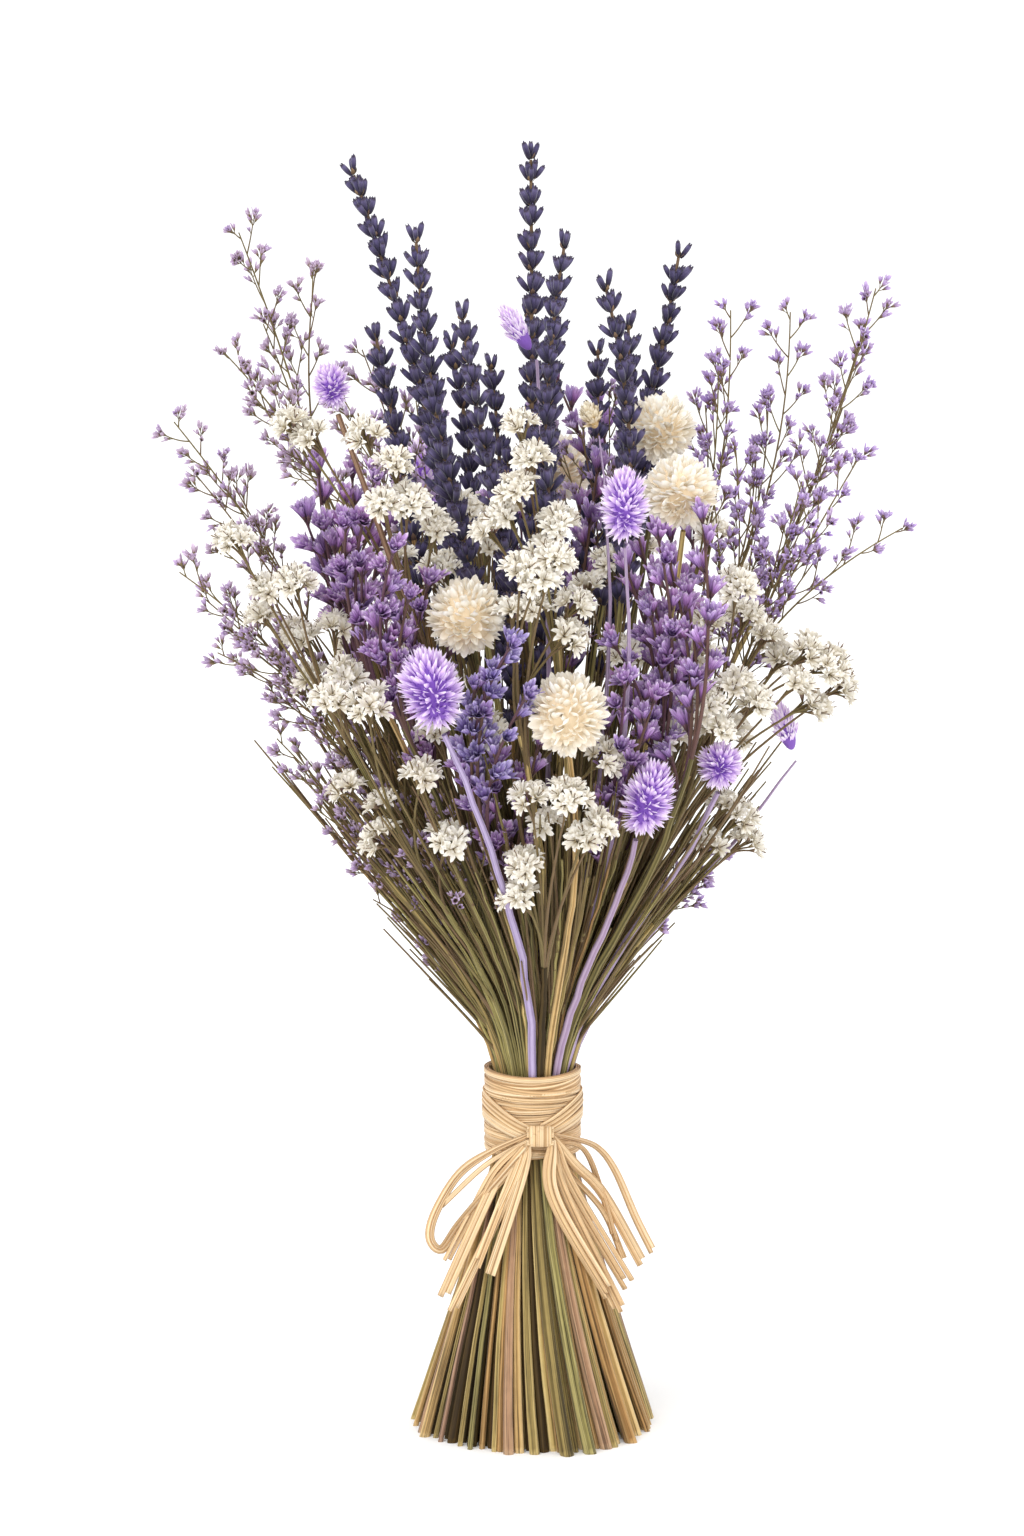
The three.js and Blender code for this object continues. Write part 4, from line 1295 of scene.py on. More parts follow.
@dataclass
class ScalyHead(Flower):
    """A dense head of scales set all over an egg."""

    scales: int = 350
    scale_length: float = 6.6
    rows: ClassVar[tuple[float, ...]] = (0.0, 0.22, 0.48, 0.72, 0.9, 1.0)  # shares of a scale's length
    half_widths: tuple[float, ...] = (0.6, 1.1, 1.4, 1.3, 0.85, 0.08)
    shows: float = 0.62  # the share of a scale's length that stands out of the core
    lean_up: float = 0.12
    unrest: float = 0.1
    spin: float = 0.7  # how far a scale is turned about itself from facing up the head
    keel: float = 0.38  # how high a scale's middle fold is, as a share of its half width
    scale_droop: float = 0.6
    end_size: float = 0.16  # how much smaller the scales at the head's ends are
    core_stand: float = 1.02  # how far the core reaches over the scales' feet
    least_core: float = 0.5  # and its least size, as a share of the head
    scale_finish: Finish = CREAM_BRACT

    def scale(self) -> Form:
        """Makes one pointed, keeled scale, its root at the origin and its tip up the third axis.

        Returns:
            The scale.
        """
        half = np.array(self.half_widths)[:, None]
        at = np.array(self.rows)[:, None]
        across = np.linspace(-1, 1, 5)
        lift = self.keel * half * (1 - np.abs(across)) - self.scale_droop * at**2
        points = np.stack([half * across, lift, at * self.scale_length + 0 * across], axis=2)
        return Form.grid(points, np.repeat(at, len(across), axis=1), self.scale_finish, False)

    def egg(self) -> tuple[np.ndarray, np.ndarray, np.ndarray]:
        """Gives the head's middle, its axis and its half length and girth.

        Returns:
            The three of them.
        """
        line = self.head_line(2)
        base, tip = line.points[0], line.points[-1]
        half = np.linalg.norm(tip - base) / 2
        return (base + tip) / 2, unit(tip - base), np.array([half, self.spot.girth])

    def dress(self, skin: Skin) -> None:
        """Covers the egg with scales that point outwards and a little up.

        Args:
            skin: The flower's piece.
        """
        middle, axis, (half, girth) = self.egg()
        rng = skin.rng
        side, other = square_to(axis)
        k = np.arange(self.scales)
        up = 1 - 2 * (k + 0.5) / self.scales
        about = k * GOLDEN_TURN + rng.normal(0, 0.05, self.scales)
        flat = np.sqrt(1 - up**2)
        out = side * (flat * np.cos(about))[:, None] + other * (flat * np.sin(about))[:, None]
        shows = self.shows * self.scale_length
        inner_half = max(half - shows, self.least_core * half)
        inner_girth = max(girth - shows, self.least_core * girth)
        sunk = (1 - self.shows) * self.scale_length
        roots = middle + out * (inner_girth - sunk) + axis * (up * (inner_half - sunk))[:, None]
        unrest = rng.normal(0, self.unrest, (self.scales, 3))
        pointing = unit(out + axis * (up + self.lean_up)[:, None] + unrest)
        sizes = rng.normal(1, 0.1, self.scales) * (1 - self.end_size * np.abs(up))
        frames = self._facing(pointing, axis, sizes, rng.normal(0, self.spin, self.scales))
        skin.set_forms(self.scale(), roots, frames, self.tones(up, rng))
        self._core(skin, middle, axis, inner_half, inner_girth)

    def tones(self, up: np.ndarray, rng: np.random.Generator) -> np.ndarray:
        """Gives each scale's tone, from how far up the head it stands."""
        return rng.uniform(0, 1, len(up))

    @staticmethod
    def _facing(pointing: np.ndarray, axis: np.ndarray, sizes: np.ndarray, spins: np.ndarray) -> np.ndarray:
        """Gives axes along each direction whose keel side faces up the head, but for a spin.

        Args:
            pointing: The direction of each scale.
            axis: The head's axis.
            sizes: The size of each scale.
            spins: The turn of each about itself, in radians.

        Returns:
            The sized axes of each scale.
        """
        second = unit(axis - pointing * (pointing @ axis)[:, None])
        first = np.cross(second, pointing)
        c, s = np.cos(spins)[:, None], np.sin(spins)[:, None]
        axes = [c * first + s * second, s * first - c * second, pointing]
        return np.stack(axes, axis=2) * sizes[:, None, None]

    def _core(self, skin: Skin, middle: np.ndarray, axis: np.ndarray, half: float, girth: float) -> None:
        """Adds the dim egg that the scales stand on.

        Args:
            skin: The flower's piece.
            middle: The head's middle.
            axis: Its axis.
            half: The egg's half length.
            girth: Its radius.
        """
        angle = np.linspace(0.05, math.pi - 0.05, 12)
        profile = np.stack([np.sin(angle) * girth, -np.cos(angle) * half], axis=1) * self.core_stand
        core = Form.turned(profile, 16, self.scale_finish)
        core.reach = np.zeros_like(core.reach)
        frame = axes_along(axis[None], np.zeros(1), np.ones(1))
        skin.set_forms(core, middle[None], frame, np.array([0.5]))


@dataclass
class GlobeHead(ScalyHead):
    """A cream globe of pointed papery bracts."""

    kind: ClassVar[Kind] = Kind.GLOBE


@dataclass
class GrassEar(ScalyHead):
    """A dyed canary grass ear of narrow spikelets."""

    half_widths: tuple[float, ...] = (0.45, 0.8, 0.85, 0.65, 0.35, 0.02)
    unrest: float = 0.16
    shows: float = 0.75
    scale_finish: Finish = LILAC_SPIKELET
    full_girth: ClassVar[float] = 11.5  # the girth of an ear whose spikelets have their full size
    full_length: ClassVar[float] = 7.2
    full_count: ClassVar[int] = 370
    feathery: ClassVar[float] = 1.5  # from where an ear's spikelets are longer
    longer: ClassVar[float] = 1.25
    kind: ClassVar[Kind] = Kind.GRASS

    def __post_init__(self) -> None:
        """Fits the spikelets to the ear's own girth."""
        super().__post_init__()
        share = self.spot.girth / self.full_girth
        self.scale_length = self.full_length * (0.3 + 0.7 * share)
        if self.spot.feather > self.feathery:
            self.scale_length *= self.longer
        self.half_widths = tuple(half * (0.5 + 0.5 * share) for half in self.half_widths)
        self.scales = round(self.full_count * (0.35 + 0.65 * share))
        self.lean_up = self.spot.feather
        if self.spot.pale:
            self.scale_finish = PALE_SPIKELET

    def tones(self, up: np.ndarray, rng: np.random.Generator) -> np.ndarray:
        """Gives paler spikelets low on the ear."""
        return np.clip(0.4 - 0.5 * up + rng.normal(0, 0.25, len(up)), 0, 1)


@dataclass
class Branched(Flower):
    """A flower whose stem branches to several ends."""

    branch_radius: float = 0.62
    branch_finish: Finish = TWIG
    tip_reach: float = 7.0
    least_branch: float = 14  # how far under its end a branch leaves the stem at least
    step_down: float = 5  # how much lower each further branch leaves it
    thinning: float = 0.45  # how much thinner a branch is at its end

    def tip_of(self, end: Place, i: int) -> np.ndarray:
        """Gives a branch's end, where the frame's solid has it if it does.

        Args:
            end: The branch's end in the front view.
            i: The branch's number.

        Returns:
            The end.
        """
        tip = self.habit.point_at(end, self.spot.depth + 0.1 * ((i % 3) - 1))
        if self.node is None:
            return tip
        near = np.hypot(self.solid[:, 0] - end[0], self.solid[:, 2] - end[1]) < self.tip_reach
        if near.any():
            tip[1] = self.solid[near, 1].mean()
        return tip

    def branches(self) -> list[Line]:
        """Gives the lines of the branches, those of the frame first.

        Returns:
            The lines.
        """
        lines = []
        for i, end in enumerate(self.spot.ends + self.spot.more):
            start = min(self.base_height, end[1] - self.least_branch) - self.step_down * (i % 6)
            heading = self.habit.heading(self.slot, start)
            lines.append(Line(bend(self.stem_at(start), heading, self.tip_of(end, i), 20)[0]))
        return lines

    def dress(self, skin: Skin) -> None:
        """Adds the branches and what grows on each.

        Args:
            skin: The flower's piece.
        """
        for i, line in enumerate(self.branches()):
            shares = np.linspace(0, 1, 14)
            radii = self.branch_radius * (1 - self.thinning * shares)
            skin.tubes(line.at(shares)[None], radii, self.branch_finish, skin.rng.uniform(0, 1), 7)
            self.dress_branch(skin, line, i)

    def dress_branch(self, skin: Skin, line: Line, i: int) -> None:
        """Adds the florets of one branch; each kind has its own."""


@dataclass
class WhiteStatice(Branched):
    """A stem of papery white flowers in flat-topped clusters."""

    spread: float = 4.6
    florets: int = 8
    floret_size: float = 0.8
    dome: float = 1.15
    facing: tuple[float, float, float] = (0.0, -0.3, 0.35)  # how clusters turn to the front and up
    sunk: float = 0.55  # how far the dome's middle is behind the branch's end
    cup_depth: float = 3.2
    stalk_radius: float = 0.32
    kind: ClassVar[Kind] = Kind.WHITE

    @staticmethod
    def floret() -> Form:
        """Makes a floret: three rings of pointed white petals and a few brown stamens on a brown cup.

        Returns:
            The floret, its cup's rim at the origin.
        """
        cup = ((0.2, -3.6), (0.5, -2.8), (0.8, -1.4), (1.1, -0.2))
        outer = ((0.6, -0.6, 0.5), (1.9, 0.9, 0.75), (3.2, 1.9, 0.85), (4.1, 2.2, 0.6), (4.7, 2.1, 0.06))
        middle = ((0.5, -0.2, 0.45), (1.6, 1.3, 0.8), (2.7, 2.4, 0.9), (3.4, 3.0, 0.6), (3.9, 3.2, 0.06))
        inner = ((0.3, 0.2, 0.4), (0.9, 1.9, 0.7), (1.5, 3.1, 0.7), (1.9, 3.8, 0.06))
        stamens = ((0.1, 1.0, 0.12), (0.9, 3.2, 0.16), (1.5, 4.5, 0.26), (1.6, 4.9, 0.1))
        return Form.joined([
            Form.turned(cup, 6, CALYX),
            Form.lobed(9, outer, WHITE_PETAL, 0.5, jitter=0.13),
            Form.lobed(7, middle, WHITE_PETAL, 0.5, 0.5, jitter=0.15),
            Form.lobed(4, inner, WHITE_PETAL, 0.4, jitter=0.2),
            Form.lobed(3, stamens, BRACT, 0.3, 0.3, jitter=0.3),
        ])

    def dress_branch(self, skin: Skin, line: Line, i: int) -> None:
        """Adds a dome of florets on fine stalks at the branch's end.

        Args:
            skin: The flower's piece.
            line: The branch.
            i: Its number.
        """
        rng = skin.rng
        spread = self.spread * (1.08 - 0.12 * (i % 3)) * rng.uniform(0.9, 1.08)
        count = self.florets - i % 3
        k = np.arange(count)
        lean = self.dome * np.sqrt((k + 0.5) / count) + rng.normal(0, 0.07, count)
        ahead = unit(line.heading(1.0) + np.array(self.facing))
        along = np.repeat(ahead, count, axis=0)
        directions = fanned(along, lean, k * GOLDEN_TURN + i + rng.normal(0, 0.15, count))
        places = line.at(1.0) - ahead * spread * self.sunk
        places = places + directions * (spread * rng.uniform(0.85, 1.2, count))[:, None]
        roots = line.at(1 - rng.uniform(1.2, 3.0, count) * self.spread / line.length)
        axes = unit(directions + 0.2 * ahead + rng.normal(0, 0.1, (count, 3)))
        sizes = rng.normal(self.floret_size, 0.08, count)
        feet = places - axes * self.cup_depth * sizes[:, None]
        stalks = bend(roots, along, feet, 5)
        skin.tubes(stalks, self.stalk_radius, TWIG, rng.uniform(0, 1, count), 4)
        frames = axes_along(axes, rng.uniform(*ANY_TURN, count), sizes)
        skin.set_forms(self.floret(), places, frames, rng.uniform(0, 0.9, count))


@dataclass
class VioletStatice(Branched):
    """A stem of violet funnel flowers in little fans up its branches."""

    branch_radius: float = 0.75
    branch_finish: Finish = PLUM_STEM
    group_spacing: float = 9.0
    floret_size: float = 0.95
    bare: float = 0.3  # the share of a branch without flowers, and the most that has them
    flowered: float = 95
    leans: Place = (0.3, 0.65)
    last_leans: Place = (0.1, 0.35)
    stalks: Place = (1.2, 2.8)
    stalk_radius: float = 0.35
    kind: ClassVar[Kind] = Kind.VIOLET

    @staticmethod
    def floret() -> Form:
        """Makes a funnel flower with seven outer petals and five inner ones.

        Returns:
            The floret, its foot at the origin.
        """
        cup = ((0.3, 0.0), (0.65, 1.2), (0.85, 2.8), (1.0, 3.8))
        lobes = ((0.7, 2.4, 0.6), (1.25, 4.3, 0.9), (1.95, 6.0, 1.05), (2.6, 7.3, 0.8), (3.1, 8.2, 0.08))
        inner = ((0.4, 2.8, 0.4), (0.8, 4.8, 0.7), (1.3, 6.5, 0.7), (1.6, 7.7, 0.08))
        return Form.joined([
            Form.turned(cup, 6, PLUM_STEM),
            Form.lobed(7, lobes, VIOLET_PETAL, 0.4, jitter=0.12),
            Form.lobed(5, inner, VIOLET_PETAL, 0.4, 0.4, jitter=0.14),
        ])

    def dress_branch(self, skin: Skin, line: Line, i: int) -> None:
        """Adds fans of two or three flowers, turn by turn, up the branch.

        Args:
            skin: The flower's piece.
            line: The branch.
            i: Its number.
        """
        rng = skin.rng
        start = max(self.bare, 1 - self.flowered / line.length)
        groups = max(4, round(line.length * (1 - start) / self.group_spacing))
        for group in range(groups):
            share = start + (1 - start) * (group + 0.5) / groups
            last = group == groups - 1
            count = 3 if last else int(rng.integers(2, 4))
            about = group * GOLDEN_TURN + i + rng.normal(0, 0.55, count)
            if last:
                about = even_turns(count)
            lean = rng.uniform(*(self.last_leans if last else self.leans), count)
            directions = fanned(np.repeat(line.heading(share), count, axis=0), lean, about)
            roots = line.at(share) + 0 * directions
            places = roots + directions * rng.uniform(*self.stalks, count)[:, None]
            curves = bend(roots, directions, places, 2)
            skin.tubes(curves, self.stalk_radius, self.branch_finish, 0.4, 4)
            sizes = rng.normal(self.floret_size, 0.08, count) * (1.05 - 0.2 * share)
            tones = np.clip(self.spot.tone + rng.normal(0, 0.16, count), 0, 1)
            frames = axes_along(directions, rng.uniform(*ANY_TURN, count), sizes)
            skin.set_forms(self.floret(), places, frames, tones)


@dataclass
class SeaLavender(Branched):
    """A stem of fine sprays with small lilac cups."""

    branch_radius: float = 0.42
    twig_spacing: float = 6.8
    cup_size: float = 0.8
    bare: float = 0.3  # the share of a branch without twigs, and the most that has them
    twiggy: float = 75
    twig_length: Place = (8, 15)
    last_twig: float = 3
    twig_leans: Place = (0.55, 0.85)
    twig_radii: Place = (0.26, 0.18)
    lift: float = 0.25  # how far a twig's end rises, as a share of its length
    cup_leans: Place = (0.2, 0.75)
    cup_stalks: Place = (0.5, 1.8)
    stalk_radius: float = 0.16
    cups_at: ClassVar[Place] = (0.6, 0.85)  # where the first cup and the next pair are on a twig
    short: ClassVar[float] = 5  # a twig up to this length has one cup at its end, a longer one three
    kind: ClassVar[Kind] = Kind.SEA

    @staticmethod
    def floret() -> Form:
        """Makes a small cup with a brown foot.

        Returns:
            The cup, its foot at the origin.
        """
        foot = ((0.15, 0.0), (0.42, 0.6), (0.62, 1.5), (0.7, 2.1))
        lobes = ((0.55, 1.4, 0.5), (0.8, 2.4, 0.62), (1.05, 3.2, 0.5), (1.3, 3.8, 0.08))
        return Form.joined([
            Form.turned(foot, 5, CALYX),
            Form.lobed(5, lobes, LILAC_CUP, 0.3, jitter=0.12),
        ])

    def dress_branch(self, skin: Skin, line: Line, i: int) -> None:
        """Adds side twigs up the branch, each with a few cups at its end.

        Args:
            skin: The flower's piece.
            line: The branch.
            i: Its number.
        """
        rng = skin.rng
        start = max(self.bare, 1 - self.twiggy / line.length)
        twigs = max(4, round(line.length * (1 - start) / self.twig_spacing))
        share = start + (1 - start) * (np.arange(twigs) + 0.6) / twigs
        about = np.arange(twigs) * math.pi + rng.normal(0, 0.9, twigs) + i
        heading = line.heading(share)
        out = fanned(heading, rng.uniform(*self.twig_leans, twigs), about)
        length = rng.uniform(*self.twig_length, twigs) * (1.15 - 0.55 * share)
        length[-1] = self.last_twig
        roots = line.at(share)
        ends = roots + out * length[:, None]
        ends[:, 2] += self.lift * length
        curves = bend(roots, out, ends, 5)
        skin.tubes(curves, np.linspace(*self.twig_radii, 6), TWIG, rng.uniform(0, 1, twigs), 4)
        for twig in range(twigs):
            self._cups(skin, Line(curves[twig]), rng)

    def _cups(self, skin: Skin, line: Line, rng: np.random.Generator) -> None:
        """Adds a few cups along the outer half of a twig.

        Args:
            skin: The flower's piece.
            line: The twig.
            rng: The piece's random draws.
        """
        share = np.repeat([*self.cups_at, 1.0], [1, 2, 3 if line.length > self.short else 1])
        count = len(share)
        about = np.arange(count) * GOLDEN_TURN + rng.uniform(*ANY_TURN)
        directions = fanned(line.heading(share), rng.uniform(*self.cup_leans, count), about)
        roots = line.at(share)
        places = roots + directions * rng.uniform(*self.cup_stalks, count)[:, None]
        skin.tubes(bend(roots, directions, places, 2), self.stalk_radius, TWIG, 0.5, 3)
        sizes = rng.normal(self.cup_size, 0.12, count)
        tones = np.clip(self.spot.tone + rng.normal(0, 0.15, count), 0, 1)
        frames = axes_along(directions, rng.uniform(*ANY_TURN, count), sizes)
        skin.set_forms(self.floret(), places, frames, tones)


LAVENDER = (
    Spot((-30, 322), -0.2, (-62, 437)),
    Spot((-23, 323), -0.42, (-37.5, 416.5)),
    Spot((-13, 324), -0.5, (-24.5, 394)),
    Spot((-45, 322), 0.15, (-55, 378)),
    Spot((-1, 333), 0.02, (-1, 440)),
    Spot((13, 318), -0.38, (14, 415)),
    Spot((5, 318), 0.35, (8, 391)),
    Spot((25, 322), -0.32, (19.5, 400)),
    Spot((33, 316), 0.0, (33, 382)),
    Spot((35, 328), 0.2, (50.5, 404)),
    Spot((-22, 300), 0.6, (-30, 370)),
)
GLOBES = (
    Spot((-23.5, 275.5), -0.92, (-23.5, 302.5), girth=13.5),
    Spot((10, 244), -1, (10, 273), girth=13.5),
    Spot((39.5, 332), -0.1, (41, 357), girth=12.5),
    Spot((45, 315), -0.5, (45, 341), girth=13),
    Spot((8, 306), 0.85, (9, 332), girth=13),
)
GRASSES = (
    Spot((-31, 252), -1.05, (-38, 283), girth=11.5, stem=MAUVE_STEM),
    Spot((34, 212.5), -1.05, (42.5, 241), girth=9.6, stem=MAUVE_STEM),
    Spot((61, 226), -0.9, (62.5, 245), girth=8, stem=MAUVE_STEM, feather=0.2),
    Spot((-63, 352), -0.3, (-68, 370), girth=6.5, stem=ROSE_STEM, feather=0.3),
    Spot((88, 232), -0.62, (81, 254), girth=5.5, stem=MAUVE_STEM, feather=1.6, taper=0.7),
    Spot((4, 369), -0.45, (-10, 388), girth=5.2, stem=MAUVE_STEM, feather=1.8, taper=0.6),
    Spot((28, 314), -0.62, (28.5, 342), girth=8.8, stem=MAUVE_STEM, taper=0.65),
    Spot((16.5, 349), -0.5, (14.5, 361), girth=3.9, stem=MAUVE_STEM, feather=1.2, taper=0.8,
         pale=True),
    Spot((-34, 300), 0.85, (-38, 330), girth=10.5),
)
VIOLETS = (
    Spot((-60, 268), -0.35, ends=((-71, 334), (-62, 324)), more=((-66, 308), (-76, 318))),
    Spot((-50, 262), -0.6, ends=((-61, 320), (-51, 336)), more=((-56, 304),)),
    Spot((-40, 250), -0.78, ends=((-45, 314), (-48, 290)), more=((-40, 298), (-52, 276))),
    Spot((-12, 214), -0.94, ends=((-7, 284), (-19, 268)), more=((-13, 274), (-2, 266)), tone=0.95),
    Spot((34, 232), -0.62, ends=((40, 318), (38, 290)), more=((30, 304), (26, 280), (44, 262))),
    Spot((46, 240), -0.5, ends=((55, 322), (50, 296), (48, 274)), more=((44, 308), (36, 256))),
    Spot((24, 262), 0.62, ends=((22, 345), (8, 352), (40, 330))),
    Spot((-52, 258), 0.72, ends=((-62, 322), (-44, 316), (-50, 284))),
)
WHITES = (
    Spot((-38, 276), -0.6, ends=((-40, 328), (-54, 349), (-80, 351), (-32, 318)),
         more=((-45, 340), (-49, 328), (-73, 347))),
    Spot((-3, 278), -0.68, ends=((-6, 334), (-4, 354), (-15, 318), (8, 322)),
         more=((-1, 344), (3, 313), (-9, 325))),
    Spot((4, 250), -0.88, ends=((2, 307), (14, 294), (-7, 292)),
         more=((-4, 309), (7, 313), (1, 294), (12, 284))),
    Spot((-60, 240), -0.5, ends=((-78, 298), (-90, 284), (-66, 280), (-99, 312)),
         more=((-88, 295), (-76, 276), (-62, 266))),
    Spot((-36, 196), -0.86, ends=((-54, 260), (-36, 235), (-62, 226), (-28, 212)),
         more=((-67, 261), (-50, 222), (-51, 210))),
    Spot((2, 166), -1, ends=((12, 231), (-1, 229), (22, 220), (-3, 205)),
         more=((17, 216), (4, 219), (-4, 194))),
    Spot((54, 228), -0.42, ends=((67, 296), (58, 282), (78, 276), (92, 271)),
         more=((71, 284), (56, 272), (99, 267))),
    Spot((50, 212), -0.72, ends=((58, 257), (74, 256), (88, 262), (103, 258)),
         more=((61, 249), (46, 245), (93, 253), (67, 263))),
    Spot((40, 176), -0.4, ends=((69, 214), (60, 204)), more=((64, 218), (72, 204))),
    Spot((46, 240), 0.82, ends=((62, 300), (74, 284), (40, 292), (82, 262))),
    Spot((-22, 226), 0.95, ends=((-28, 284), (-46, 270), (-8, 272), (-62, 262))),
)
SEA_LAVENDERS = (
    Spot((-63, 322), 0.1, ends=((-98, 409), (-73, 395), (-91, 376)), tone=0.15),
    Spot((-66, 300), -0.1, ends=((-102, 371), (-84, 350)), more=((-94, 358),), tone=0.1),
    Spot((-66, 262), -0.15, ends=((-119, 348), (-100, 326), (-108, 306)), more=((-112, 330),), tone=0.15),
    Spot((-60, 238), -0.3, ends=((-118, 297), (-96, 272), (-106, 268)),
         more=((-110, 288), (-88, 256), (-98, 284)), tone=0.2),
    Spot((-46, 196), -0.45, ends=((-86, 240), (-58, 194), (-72, 214)),
         more=((-78, 226), (-54, 184), (-42, 178), (-30, 170)), tone=0.25),
    Spot((58, 288), 0.1, ends=((66, 383), (58, 350)), more=((62, 366),), tone=0.8),
    Spot((70, 290), 0.3, ends=((87, 380), (80, 350)), more=((76, 334),), tone=0.7),
    Spot((74, 286), 0.05, ends=((114, 391), (104, 350)), more=((110, 376),), tone=0.6),
    Spot((70, 262), -0.05, ends=((109, 336), (124, 310), (96, 300)), more=((84, 312), (90, 326)), tone=0.7),
    Spot((29, 164), -0.3, ends=((57, 187), (64, 198)), more=((50, 180),), tone=0.6),
    Spot((-40, 268), 0.75, ends=((-70, 350), (-84, 320), (-58, 330)), tone=0.3),
)

# More stems of the same kinds, between and behind those of the frame.
INNER_FROM = 40  # their numbers go on from here
INNER_GIRTH = Girth(0.9, 0.9, 16)
INNER_LAVENDERS = (
    Spot((-11, 290), 0.4, (-15, 366)),
    Spot((0, 295), 0.45, (-2, 382)),
    Spot((17, 290), 0.3, (22, 372)),
    Spot((-27, 292), 0.35, (-36, 360)),
    Spot((4, 280), 0.1, (5, 350)),
    Spot((-8, 275), 0.05, (-8, 338)),
    Spot((32, 288), 0.35, (40, 352)),
    Spot((-38, 285), 0.45, (-50, 345)),
)
INNER_WHITES = (
    Spot((-20, 215), 0.92, ends=((-30, 258), (-12, 264), (-22, 246))),
    Spot((28, 218), 0.92, ends=((40, 258), (24, 268), (48, 246))),
    Spot((5, 205), 0.95, ends=((2, 238), (14, 230), (-6, 228))),
    Spot((-50, 232), 0.8, ends=((-64, 278), (-50, 288))),
    Spot((-20, 250), -0.2, ends=((-30, 300), (-14, 306), (-46, 300), (-22, 320))),
    Spot((26, 250), -0.15, ends=((26, 302), (36, 318), (18, 290), (30, 270))),
    Spot((-44, 214), -0.3, ends=((-74, 262), (-44, 268), (-80, 276), (-34, 262))),
    Spot((40, 200), -0.3, ends=((52, 262), (84, 268), (34, 250), (66, 244))),
    Spot((-10, 190), -0.7, ends=((-14, 250), (8, 246), (-34, 246), (24, 240))),
)
INNER_VIOLETS = (
    Spot((-5, 232), 0.85, ends=((-4, 303), (6, 293)), more=((0, 278),)),
    Spot((42, 238), 0.75, ends=((56, 308), (48, 298)), more=((52, 283),)),
    Spot((-38, 238), 0.78, ends=((-50, 303), (-42, 313)), more=((-45, 279),)),
    Spot((-58, 256), -0.1, ends=((-68, 312), (-52, 318), (-60, 296)), more=((-50, 288), (-70, 296))),
    Spot((-34, 226), -0.55, ends=((-34, 300), (-40, 276), (-30, 258)), more=((-44, 262), (-26, 284))),
    Spot((38, 222), -0.3, ends=((34, 314), (46, 302), (40, 278)), more=((30, 262), (52, 284))),
    Spot((22, 200), -0.75, ends=((30, 268), (36, 246), (24, 250)), more=((40, 262), (28, 236))),
    Spot((-8, 190), -0.8, ends=((-12, 240), (-18, 226), (-4, 232)), more=((-24, 238), (2, 246))),
    Spot((10, 232), 0.2, ends=((4, 300), (16, 316), (-6, 290)), more=((22, 330), (-16, 316))),
)
INNER_SEA_LAVENDERS = (
    Spot((-40, 196), -0.2, ends=((-84, 262), (-72, 246), (-60, 238)),
         more=((-92, 276), (-66, 230)), tone=0.25),
    Spot((-34, 176), -0.55, ends=((-66, 212), (-48, 204), (-56, 224)),
         more=((-40, 192), (-36, 212)), tone=0.3),
    Spot((58, 236), -0.1, ends=((84, 300), (74, 318), (68, 336)), more=((92, 318), (60, 324)), tone=0.7),
    Spot((20, 260), 0.3, ends=((16, 340), (26, 352), (4, 346)), more=((34, 340),), tone=0.35),
    Spot((-30, 268), 0.4, ends=((-50, 356), (-64, 340), (-40, 346)), more=((-58, 366),), tone=0.2),
    Spot((-20, 170), -0.8, ends=((-38, 208), (-26, 196), (-30, 222)), more=((-16, 206),), tone=0.35),
)


# ---------------- raffia
@dataclass(frozen=True)
class Strand:
    """One strand of the bow: its front-view way from beside the knot, its width and its twist."""

    way: tuple[Place, ...]
    width: float
    twist: float
    end_twist: float


